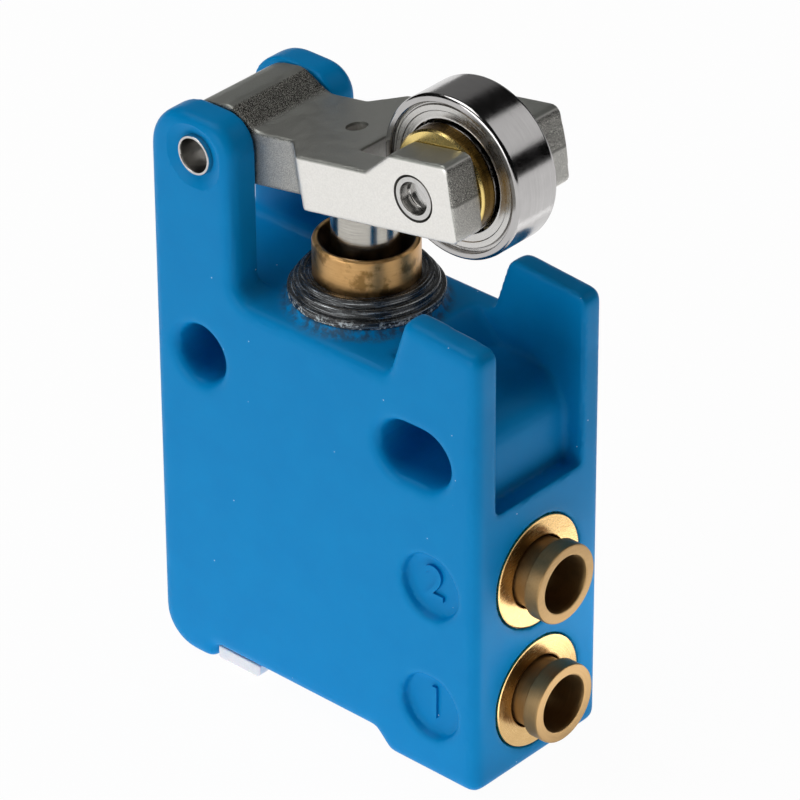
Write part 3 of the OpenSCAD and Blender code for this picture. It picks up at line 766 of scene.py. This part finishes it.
body_outline = soften([
    (left, foot, HEEL_R), (left, top, EAR_BACK_R), (ear_x, top, EAR_FRONT_R), (ear_x, LEDGE, EAR_ROOT_R),
    (post_x - POST_LEAN, LEDGE, POST_ROOT_R), (post_x, POST_TOP, CORNER_R),
    (right, POST_TOP - POST_FALL, CORNER_R), (right, foot, CORNER_R),
    (right - PORT_FOOT, foot, CORNER_R), (right - PORT_FOOT - FOOT_H, recess, RECESS_R),
    (left + HEEL_FOOT, recess, RECESS_R), (left + HEEL_FOOT, foot, CORNER_R)])
moulding = prism("moulded_body", body_outline, -HALF_T, HALF_T)
round_edges(moulding, lambda p: abs(p.y) > HALF_T - NEAR, SIDE_R, clamp=False)
print("block:", len(moulding.data.polygons), "faces")

# %% Gap between the ears
EAR_T = 2.7
FLOOR_RISE = 0.02
GAP_R = 1.0
PAST = 5

gap_half = HALF_T - EAR_T
gap_floor = LEDGE + FLOOR_RISE
gap_end = ear_x + 3
ear_gap = prism("ear_gap", soften([
    (left - PAST, gap_floor, 0), (gap_end, gap_floor, 0), (gap_end, top + PAST, 0),
    (left - PAST, top + PAST, 0)]), -gap_half, gap_half)
round_edges(ear_gap, lambda p: p.z < gap_floor + NEAR and abs(p.y) > gap_half - NEAR, GAP_R)
combine(moulding, ear_gap)
print("gap between the ears, mm:", round(2 * gap_half, 2))

# %% Channel between the posts
CHANNEL_HALF = 8.9 / 2
CHANNEL_R = 0.4
FIX_R = 2.2
SLOT_HALF = 1.0
BOSS_R = FIX_R + 1.1
NOTCH = -3.4

over = POST_TOP + 2
past_right = right + 3
slot_end = SLOT_AT.x + SLOT_HALF
ramp_foot = SLOT_AT.x - BOSS_R / 2
ramp_top = ramp_foot - (over - BOSS_R)
boss_arc = [Vector((slot_end + BOSS_R * math.sin(turn), BOSS_R * math.cos(turn)))
            for turn in [math.radians(10 * step) for step in range(10)]]
channel_outline = [Vector((ramp_top, over)), Vector((ramp_foot, BOSS_R))] + boss_arc
channel_outline += [Vector(corner) for corner in (
    (slot_end + BOSS_R, NOTCH), (past_right, NOTCH), (past_right, over))]
channel = prism("channel", channel_outline, -CHANNEL_HALF, CHANNEL_HALF)
round_edges(channel, lambda p: abs(p.y) > CHANNEL_HALF - NEAR, CHANNEL_R, 3)
combine(moulding, channel)
print("moulding with its channel:", len(moulding.data.polygons), "faces")

# %% [markdown]
# The gland sits on a low boss. Of the two fixing holes one is a slot, which takes up small errors of the
# holes that it is screwed to. Their rims are broken by a funnel: a short plug whose inner end is drawn in.

# %% Gland boss and fixing holes
GLAND_BOSS_R = 5.6
GLAND_BOSS_H = 0.7
HOLE_RIM = 0.5
ROUND_REACH = 0.01
FIX_AT = Vector((0, 0, 0))
through_half = HALF_T + 1


def hole_outline(reach, radius):
    """The outline of a slot whose round ends lie this far from its middle, or of a round hole."""
    return [Vector((side * reach + radius * math.cos(turn), radius * math.sin(turn)))
            for side, start in ((1, -90), (-1, 90))
            for turn in [math.radians(start + 7.5 * step) for step in range(25)]]


gland_boss = rod("gland_boss", GLAND_BOSS_R, LEDGE - 1, LEDGE + GLAND_BOSS_H, "Z", VALVE_AXIS)
combine(moulding, gland_boss, "UNION")
for place, reach in ((FIX_AT, ROUND_REACH), (SLOT_AT, SLOT_HALF)):
    drill = prism("drill", hole_outline(reach, FIX_R), -through_half, through_half)
    drill.location = place
    combine(moulding, drill)
    wide = FIX_R + 2 * HOLE_RIM
    for side in (-1, 1):
        inner, outer = side * (HALF_T - HOLE_RIM), side * (HALF_T + HOLE_RIM)
        rim = prism("rim", hole_outline(reach, wide), inner, outer)
        pick_edges(rim, lambda p: abs(p.y) < HALF_T)
        bpy.ops.transform.resize(value=((reach + FIX_R) / (reach + wide), 1, FIX_R / wide))
        alone(rim).location = place
        combine(moulding, rim)
print("moulding with its fixing holes:", len(moulding.data.polygons), "faces")

# %% Discs and bores
DISC_IN = 4.35
DISC_R = 2.55
DISC_DEPTH = 0.75
BUSH_BORE_R = 3.81
BUSH_BORE_FOOT = -3.4
PIVOT_BORE_R = 1.51
MOUTH_R = 4.36
MOUTH_DEPTH = 0.8
POCKET_R = 3.92
POCKET_DEPTH = 6.2
DUCT_R = 2.0
DUCT_DEPTH = 8

for port in PORTS.values():
    disc_at = Vector((right - DISC_IN, -HALF_T, port.z))
    combine(moulding, rod("disc", DISC_R, -1, DISC_DEPTH, "Y", disc_at))
combine(moulding, rod("bush_bore", BUSH_BORE_R, BUSH_BORE_FOOT, LEDGE + 2, "Z", VALVE_AXIS))
combine(moulding, rod("pivot_bore", PIVOT_BORE_R, -through_half, through_half, "Y", PIVOT))
pocket_profile = [(0, 1), (MOUTH_R, 1), (MOUTH_R, -MOUTH_DEPTH), (POCKET_R, -MOUTH_DEPTH),
                  (POCKET_R, -POCKET_DEPTH), (DUCT_R, -DUCT_DEPTH), (0, -DUCT_DEPTH)]
for port in PORTS.values():
    combine(moulding, turned("pocket", pocket_profile, "X", port, False))
print("moulding with its bores:", len(moulding.data.polygons), "faces")

# %% [markdown]
# A moulding has no sharp corner anywhere. Rounding each edge by hand would be slow where many of them meet,
# so an even skin of small squares is laid over the block and smoothed: that rounds outer and hollow corners
# alike. Faces that the flat stretches don't need are then collapsed. What has to stay crisp comes after the
# skin: the dishes round the ends of the pivot pin, and the raised port numbers.

# %% Body skin
BODY_SKIN = 0.2
SKIN_PASSES = 8
SKIN_KEEP = 0.5


def soft_skin(obj, size):
    """Lay an even skin over obj, smooth it and keep a share of its faces."""
    modify(obj, "REMESH", mode="VOXEL", voxel_size=size)
    modify(obj, "SMOOTH", factor=0.5, iterations=SKIN_PASSES)
    modify(obj, "DECIMATE", decimate_type="COLLAPSE", ratio=SKIN_KEEP)
    return obj


soft_skin(moulding, BODY_SKIN)
print("skinned moulding:", len(moulding.data.polygons), "faces")

# %% Dishes and port numbers
DISH_R = 2.5
DISH_FLOOR_R = 1.56
DISH = 0.4
NUMBER_H = 3.7
NUMBER_FAT = 0.03
NUMBER_RISE = 0.22


def number_mesh(number, place):
    """A plain numeral that stands out towards the front at a place."""
    bpy.ops.object.select_all(action="DESELECT")
    bpy.ops.object.text_add(location=place, rotation=(math.pi / 2, 0, 0))
    numeral = bpy.context.object
    numeral.data.body = str(number)
    numeral.data.align_x = "CENTER"
    numeral.data.align_y = "CENTER"
    numeral.data.size = NUMBER_H
    numeral.data.extrude = NUMBER_RISE
    numeral.data.offset = NUMBER_FAT
    bpy.ops.object.convert(target="MESH")
    bpy.ops.object.transform_apply(location=True, rotation=True, scale=True)
    return tidy(numeral)


dish_wall = [(0, HALF_T - DISH), (DISH_FLOOR_R, HALF_T - DISH),
             (2 * DISH_R - DISH_FLOOR_R, HALF_T + DISH), (0, HALF_T + DISH)]
for side in (-1, 1):
    combine(moulding, turned("dish", [(r, side * y) for r, y in dish_wall], "Y", PIVOT, False))
for number, port in PORTS.items():
    number_at = Vector((right - DISC_IN, DISC_DEPTH - HALF_T, port.z))
    combine(moulding, number_mesh(number, number_at), "UNION")
settle(moulding, "body")

# %% [markdown]
# ## The forked lever
# The lever is a cast steel fork. It could be built up from blocks. Two outlines are quicker: what is seen
# from the side and what is seen from above. Each is pushed through, and the lever is what both have in
# common. It is drawn lying along X with the pivot at the origin, given a soft skin, and tilted into place at
# the end.

# %% Lever
LEVER_SKIN = 0.12
PIVOT_HOLE_R = 1.54
PIN_HOLE_R = 1.72
PLATE_HOLE_R = 0.8
PLATE_HOLE_AT = 9.6
past_end = lever_end + 1
arm_in = FORK_HALF - ARM_T

lever = prism("forked_lever", soften([
    (-BARREL_TOP, UNDER, 2.7), (-BARREL_TOP, BARREL_TOP, 2.4), (ROOF_END, BARREL_TOP, 1.6),
    (SLOPE_END, PLATE, 1.8), (rise_foot, PLATE, 0.6), (rise_top, BARREL_TOP, 0.6),
    (lever_end - NOSE_LEAN, BARREL_TOP, 0.7), (lever_end, 0, 0), (lever_end - NOSE_LEAN, UNDER, 0.7)], 6),
    -FORK_HALF - 1, FORK_HALF + 1)
plan_shape = prism("lever_plan", soften([
    (-4, -NECK_HALF, 0), (NECK_END, -NECK_HALF, 0.4), (FORK_START, -FORK_HALF, 0.5),
    (past_end, -FORK_HALF, 0), (past_end, -arm_in, 0), (fork_root, -arm_in, 0.6), (fork_root, arm_in, 0.6),
    (past_end, arm_in, 0), (past_end, FORK_HALF, 0), (FORK_START, FORK_HALF, 0.5),
    (NECK_END, NECK_HALF, 0.4), (-4, NECK_HALF, 0)], 6), -6, 6, "XY")
combine(lever, plan_shape, "INTERSECT")
soft_skin(lever, LEVER_SKIN)
combine(lever, rod("pivot_hole", PIVOT_HOLE_R, -8, 8, "Y"))
combine(lever, rod("pin_hole", PIN_HOLE_R, -8, 8, "Y", (LEVER_RUN, 0, 0)))
combine(lever, rod("plate_hole", PLATE_HOLE_R, -1.6, 4, "Z", (PLATE_HOLE_AT, 0, 0), 48))
alone(lever)
lever.matrix_world = Matrix.Translation(PIVOT) @ Matrix.Rotation(-LEVER_TILT, 4, "Y")
bpy.ops.object.transform_apply(location=True, rotation=True, scale=True)
settle(lever, "lever")

# %% [markdown]
# ## Pins, spacers and the ball bearing
# All of these are turned, so each is a profile spun round the Y axis, which gives even rounds with few faces.
# The pins are hollow at their ends, where a punch has spread them. A thin dark gap runs round each of them.

# %% Pins
PIVOT_PIN_R = 1.5
ROLLER_PIN_R = 1.6
PIN_SMOOTH = 40


def pin_profile(radius, half, cup, wall):
    """A pin with a spread rim and a hollow end, from one end to the other."""
    rim = wall * radius
    end = [(0, cup), (radius * 0.6, cup), (radius * 0.7, cup * 0.75), (rim, 0.15), (rim + 0.06, 0.02),
           (rim + 0.12, 0), (radius - 0.06, 0.03), (radius, 0.15)]
    return [(r, depth - half) for r, depth in end] + [(r, half - depth) for r, depth in reversed(end)]


pivot_profile = pin_profile(PIVOT_PIN_R, HALF_T, 2.2, 0.82)
roller_profile = pin_profile(ROLLER_PIN_R, FORK_HALF, 0.8, 0.72)
settle(turned("hollow_pivot_pin", pivot_profile, "Y", PIVOT, False, 64), "pivot_pin", PIN_SMOOTH)
settle(turned("staked_roller_pin", roller_profile, "Y", ROLLER, False, 64), "roller_pin", PIN_SMOOTH)

# %% Spacers and shields
BEARING_HALF = 2.0
GAP = 0.02
SPACER_BORE_R = ROLLER_PIN_R + 0.01
SPACER_R = 2.99
FLANGE_R = 3.9
SHIELD_IN = 4.16
SHIELD_R = 5.38
shield_face = BEARING_HALF - 0.26

spacer_profile = [
    (SPACER_BORE_R, GAP), (SPACER_R, GAP), (SPACER_R, BEARING_HALF), (FLANGE_R - 0.08, BEARING_HALF),
    (FLANGE_R, BEARING_HALF + 0.1), (FLANGE_R, arm_in - 0.18), (FLANGE_R - 0.15, arm_in - GAP),
    (SPACER_BORE_R, arm_in - GAP)]
shield_profile = [
    (SHIELD_IN, shield_face - 0.02), (SHIELD_IN, shield_face - 0.2), (SHIELD_R, shield_face - 0.24),
    (SHIELD_R, shield_face - 0.1), (5.22, shield_face - 0.16), (5.12, shield_face), (4.75, shield_face),
    (4.68, shield_face - 0.06), (4.3, shield_face - 0.06)]
for side, place in ((-1, "front"), (1, "rear")):
    spacer = turned("brass_spacer_" + place, [(r, side * y) for r, y in spacer_profile], "Y", ROLLER)
    settle(spacer, "spacer_" + place)
    plate = [(r, side * y) for r, y in shield_profile]
    shield = turned("pressed_shield_" + place, plate, "Y", ROLLER, True, 128)
    settle(shield, "bearing_shield_" + place)

# %% Outer ring
BEARING_R = 6.0
RING_LIP_R = 5.06
SHIELD_SEAT_R = 5.41

half_ring = [
    (RING_LIP_R, 1.1), (RING_LIP_R, 1.6), (SHIELD_SEAT_R, 1.6), (SHIELD_SEAT_R, BEARING_HALF - 0.07),
    (SHIELD_SEAT_R + 0.07, BEARING_HALF), (BEARING_R - 0.28, BEARING_HALF),
    (BEARING_R - 0.14, BEARING_HALF - 0.05), (BEARING_R - 0.04, BEARING_HALF - 0.14),
    (BEARING_R, BEARING_HALF - 0.3)]
ball_groove = [(5.25, 0.7), (5.33, 0.0), (5.25, -0.7)]
ring = [(r, -y) for r, y in half_ring] + [(r, y) for r, y in reversed(half_ring)] + ball_groove
settle(turned("ground_outer_ring", ring, "Y", ROLLER, True, 160), "bearing_outer_ring")

# %% [markdown]
# ## Plunger, bush and gland
# The lever presses a bright domed plunger, which slides in a bronze bush. A blackened ring with stepped rims
# holds the bush down. They are spun round the valve's axis, each in one profile, so their gaps stay even.

# %% Plunger
PLUNGER_LOW, PLUNGER_HIGH = span("plunger")
PLUNGER_R = 2.5
HEAD_R = 3.1
TAIL_R = 1.9
DOME_R = 5.0

dome = [(DOME_R * math.sin(turn), PLUNGER_HIGH.z - DOME_R + DOME_R * math.cos(turn))
        for turn in [math.radians(5 * step) for step in range(6)]]
dome_foot = dome[-1][1]
head_top, head_foot = BUSH_LOW.z - 0.1, BUSH_LOW.z - 1.4
shank = [(2.38, dome_foot - 0.1), (PLUNGER_R, dome_foot - 0.3), (PLUNGER_R, BUSH_LOW.z),
         (PLUNGER_R, head_top), (HEAD_R, head_top), (HEAD_R, head_foot), (TAIL_R, head_foot),
         (TAIL_R, PLUNGER_LOW.z), (0, PLUNGER_LOW.z)]
settle(turned("polished_plunger", dome + shank, "Z", VALVE_AXIS, False), "plunger")

# %% Bush and gland
BUSH_R = 3.8
BUSH_BORE = PLUNGER_R + 0.04
GLAND_BORE_R = BUSH_R + 0.03
GLAND_SMOOTH = 50

bush_foot, bush_top = BUSH_LOW.z, BUSH_HIGH.z
bush = [(BUSH_BORE, bush_foot), (BUSH_R - 0.01, bush_foot), (BUSH_R, bush_top - 0.3), (3.74, bush_top - 0.1),
        (3.6, bush_top), (BUSH_MOUTH_R, bush_top), (3.3, bush_top - 0.08), (2.75, bush_top - 0.9),
        (BUSH_BORE, bush_top - 1.1)]
settle(turned("bronze_bush", bush, "Z", VALVE_AXIS), "guide_bush")

gland_steps = [
    (GLAND_BORE_R, 0), (5.5, 0), (5.53, 0.1), (5.53, 0.5), (5.45, 0.62), (5.2, 0.66), (5.12, 0.8),
    (5.12, 1.1), (5.0, 1.24), (4.75, 1.28), (4.68, 1.4), (4.66, 1.68), (4.5, 1.77), (4.3, 1.73), (4.2, 1.6),
    (GLAND_BORE_R, 1.58)]
gland = [(r, GLAND_FOOT + rise) for r, rise in gland_steps]
settle(turned("stepped_gland", gland, "Z", VALVE_AXIS, True, 128), "gland_ring", GLAND_SMOOTH)

# %% [markdown]
# ## Springs
# Each spring is a small circle screwed up round the valve's axis. A rigid coil would be cut by the piece that
# presses on it; here the coil is left unparented where it stands.

# %% Coil springs
WIRE = 0.6
COIL_SMOOTH = 60


def coil(name, node, turns, pressed_by):
    """A closed coil of round wire in the box of its node."""
    low, high = span(node)
    reach = (high.x - low.x - WIRE) / 2
    bpy.ops.object.select_all(action="DESELECT")
    bpy.ops.mesh.primitive_circle_add(vertices=12, radius=WIRE / 2, location=(reach, 0, low.z + WIRE / 2),
                                      rotation=(math.pi / 2, 0, 0))
    wire = bpy.context.object
    wire.name = name
    bpy.ops.object.transform_apply(location=True, rotation=True, scale=True)
    modify(wire, "SCREW", angle=2 * math.pi, iterations=turns, screw_offset=(high.z - low.z - WIRE) / turns,
           steps=32, render_steps=32, axis="Z")
    edit(wire, "EDGE")
    bpy.ops.mesh.select_non_manifold()
    bpy.ops.mesh.edge_face_add()
    tidy(wire).location = VALVE_AXIS
    bpy.ops.object.transform_apply(location=True, rotation=True, scale=True)
    return settle(wire, node, COIL_SMOOTH, pressed_by)


coil("return_spring_coil", "plunger_spring", 6, "plunger_rod")
coil("poppet_spring_coil", "poppet_spring", 3, "poppet_set")

# %% [markdown]
# ## Push-in tube ports
# A brass sleeve sits in each port, and the release collar slides in it: pressing the collar in frees the
# tube. Both could be cut from cylinders, but they are turned pieces, so a profile spun round the axis of the
# port is nearer to how they are made. The collar has a neck and a wider lip for the finger, and claws inside
# keep it from falling out.

# %% Sleeve profile
SLEEVE_HEAD_R = 4.3
SLEEVE_HEAD_T = 0.78
SLEEVE_R = 3.9
SLEEVE_LEN = 6.19
SLEEVE_BORE_R = 2.66
COLLAR_ROOM_R = 3.3
COLLAR_ROOM_AT = 1.6

sleeve_profile = [
    (SLEEVE_BORE_R, -COLLAR_ROOM_AT), (SLEEVE_BORE_R, -0.25), (2.8, -0.05), (2.95, 0),
    (SLEEVE_HEAD_R - 0.2, 0), (SLEEVE_HEAD_R - 0.06, -0.06), (SLEEVE_HEAD_R, -0.2),
    (SLEEVE_HEAD_R, -SLEEVE_HEAD_T), (SLEEVE_R, -SLEEVE_HEAD_T), (SLEEVE_R, -SLEEVE_LEN),
    (COLLAR_ROOM_R, -SLEEVE_LEN), (COLLAR_ROOM_R, -COLLAR_ROOM_AT)]
print("sleeve, mm long:", SLEEVE_LEN)

# %% Collar profile, and both ports
TUBE_BORE_R = 2.08
NECK_R = 2.6
LIP_R = 3.0
LIP_FOOT = 1.14
LIP_END = 2.45
CLAW_FOOT = -1.7
CLAW_END = -2.1

collar_profile = [
    (TUBE_BORE_R, CLAW_END), (TUBE_BORE_R, 2.1), (2.2, 2.38), (2.32, LIP_END), (2.84, LIP_END),
    (2.96, LIP_END - 0.05), (LIP_R, 2.28), (LIP_R, LIP_FOOT + 0.12), (2.93, LIP_FOOT), (2.66, LIP_FOOT),
    (NECK_R, LIP_FOOT - 0.06), (NECK_R, CLAW_FOOT), (LIP_R, CLAW_FOOT), (NECK_R, CLAW_END)]
for number, port in PORTS.items():
    settle(turned(f"brass_sleeve_{number}", sleeve_profile, "X", port), f"port_sleeve_{number}")
    settle(turned(f"brass_collar_{number}", collar_profile, "X", port), f"release_collar_{number}")

# %% [markdown]
# ## The pad under the body
# A small porous pad closes the mouth of the exhaust duct, in the recess between the feet. It is a block that
# was cut by hand, so its corners are rounded unevenly.

# %% Filter pad
PAD_LOW, PAD_HIGH = span("exhaust_filter")
pad = prism("porous_pad", soften([
    (PAD_LOW.x, PAD_LOW.z, 0.2), (PAD_HIGH.x, PAD_LOW.z, 0.45), (PAD_HIGH.x, PAD_HIGH.z, 0.1),
    (PAD_LOW.x, PAD_HIGH.z, 0.1)]), PAD_LOW.y, PAD_HIGH.y)
round_edges(pad, lambda p: abs(p.y) > PAD_HIGH.y - NEAR, 0.2, 3)
settle(pad, "exhaust_filter")

# %% [markdown]
# ## Camera, floor and light
# The camera stands where the photograph was taken from, a little over a third of a metre away with a long
# lens. It is turned by its own three directions, because its small roll would be awkward in angles.

# %% Camera
AZIMUTH = math.radians(42.112)
ELEVATION = math.radians(31.769)
ROLL = math.radians(-0.298)
CAMERA_AT = Vector((225.0, -234.5, 194.4))
FOCAL_PX = 5347
FRAME_PX = 800


def direction(azimuth, elevation):
    """The way to a point round the valve. Azimuth 0 is the front and 90 degrees the port side."""
    return Vector((math.sin(azimuth) * math.cos(elevation), -math.cos(azimuth) * math.cos(elevation),
                   math.sin(elevation)))


bpy.ops.object.camera_add()
camera = bpy.context.object
right_way = Vector((math.cos(AZIMUTH), math.sin(AZIMUTH), 0))
back_way = direction(AZIMUTH, ELEVATION)
up_way = back_way.cross(right_way)
rolled_right = right_way * math.cos(ROLL) + up_way * math.sin(ROLL)
rolled_up = back_way.cross(rolled_right)
camera_turn = Matrix((rolled_right, rolled_up, back_way)).transposed().to_4x4()
camera.matrix_world = Matrix.Translation(CAMERA_AT * MM) @ camera_turn
camera.data.sensor_width = 36
camera.data.lens = camera.data.sensor_width * FOCAL_PX / FRAME_PX
camera.data.clip_start = 0.01
bpy.context.scene.camera = camera
print("camera, mm from the pivot:", round((CAMERA_AT - PIVOT).length))

# %% [markdown]
# The valve stands on white paper. Lit strongly enough to be white, the paper would flood the valve with
# light, so the camera and mirrors see it as white by itself, and a small share of the lit paper keeps the
# shadow.

# %% Floor
WHITE_SHARE = 0.97

bpy.ops.object.select_all(action="DESELECT")
bpy.ops.mesh.primitive_plane_add(size=3, location=(0, 0, BODY_LOW.z * MM))
floor = bpy.context.object
floor.name = "floor"
paper = Finish("white_paper", Base_Color=(0.9, 0.9, 0.9, 1), Roughness=0.9, Specular_IOR_Level=0.1)
rays = [paper.node("ShaderNodeLightPath", out=f"Is {kind} Ray")
        for kind in ("Camera", "Glossy", "Transmission")]
seen = rays[0] + rays[1] + rays[2]
glow = paper.node("ShaderNodeEmission", None, {"Color": (1, 1, 1, 1), "Strength": 1.0})
lit = Value(paper, paper.end.outputs["BSDF"])
paper.end = paper.tree.nodes["Material Output"]
blended = paper.node("ShaderNodeMixShader", None, {0: seen * WHITE_SHARE, 1: lit, 2: glow})
floor.data.materials.append(paper.feed(Surface=blended))

# %% [markdown]
# A large box in front and one at the upper left do most of the lighting, and a weak fill lifts the port
# side. A dim card and a small box behind give the roller its bands. The rest comes up from the table: one
# wide panel lights the undersides, and a small one at the right is what the brass sleeves mirror.

# %% Lamps
PANEL_LIFT = 0.0001


def soft_box(name, azimuth, elevation, away, size, power):
    """A square area lamp that looks at the middle of the valve."""
    way = direction(math.radians(azimuth), math.radians(elevation))
    bpy.ops.object.light_add(type="AREA", location=(cad_low + cad_high) / 2 + way * away)
    lamp = bpy.context.object
    lamp.name = name
    lamp.rotation_euler = way.to_track_quat("Z", "Y").to_euler()
    lamp.data.size = size
    lamp.data.energy = power
    return lamp


def table_panel(name, across, deep, width, length, power):
    """An area lamp lying on the floor and shining up, which the camera doesn't see."""
    place = (across, deep, BODY_LOW.z * MM + PANEL_LIFT)
    bpy.ops.object.light_add(type="AREA", location=place, rotation=(math.pi, 0, 0))
    lamp = bpy.context.object
    lamp.name = name
    lamp.data.shape = "RECTANGLE"
    lamp.data.size = width
    lamp.data.size_y = length
    lamp.data.energy = power
    lamp.visible_camera = False
    return lamp


soft_box("front_box", azimuth=-8, elevation=8, away=0.7, size=0.5, power=2.6)
soft_box("left_top_box", azimuth=-70, elevation=68, away=0.7, size=0.5, power=2.4)
soft_box("back_left_card", azimuth=-140, elevation=18, away=0.7, size=0.6, power=0.21)
soft_box("back_right_box", azimuth=145, elevation=38, away=0.6, size=0.35, power=0.33)
right_fill = soft_box("right_fill", azimuth=80, elevation=5, away=0.7, size=0.5, power=0.36)
light_table = table_panel("light_table", across=0.0, deep=0.0, width=0.2, length=0.2, power=0.1)
for lamp in (right_fill, light_table):
    lamp.visible_glossy = False
table_panel("right_panel", across=0.056, deep=0.0275, width=0.045, length=0.065, power=0.022)
print("lamps:", len(bpy.data.lights))

# %% [markdown]
# The room is dark near the floor and dim above, which keeps the metals from turning into flat grey. The
# strength of the world follows the height of the direction.

# %% Room
ROOM_LOW = 0.1
ROOM_HIGH = 0.5
ROOM_DARK = 0.01
ROOM_DIM = 0.14

world = bpy.data.worlds.new("studio")
bpy.context.scene.world = world
world.use_nodes = True
room = Nodes(world.node_tree, "Background")
height = room.split(room.node("ShaderNodeTexCoord", out="Generated"))[2]
room.feed(Strength=room.node("ShaderNodeMapRange", None, {
    "Value": height, "From Min": ROOM_LOW, "From Max": ROOM_HIGH, "To Min": ROOM_DARK, "To Max": ROOM_DIM}))
bpy.context.scene.view_settings.view_transform = "Standard"
print("room:", len(world.node_tree.nodes), "nodes")
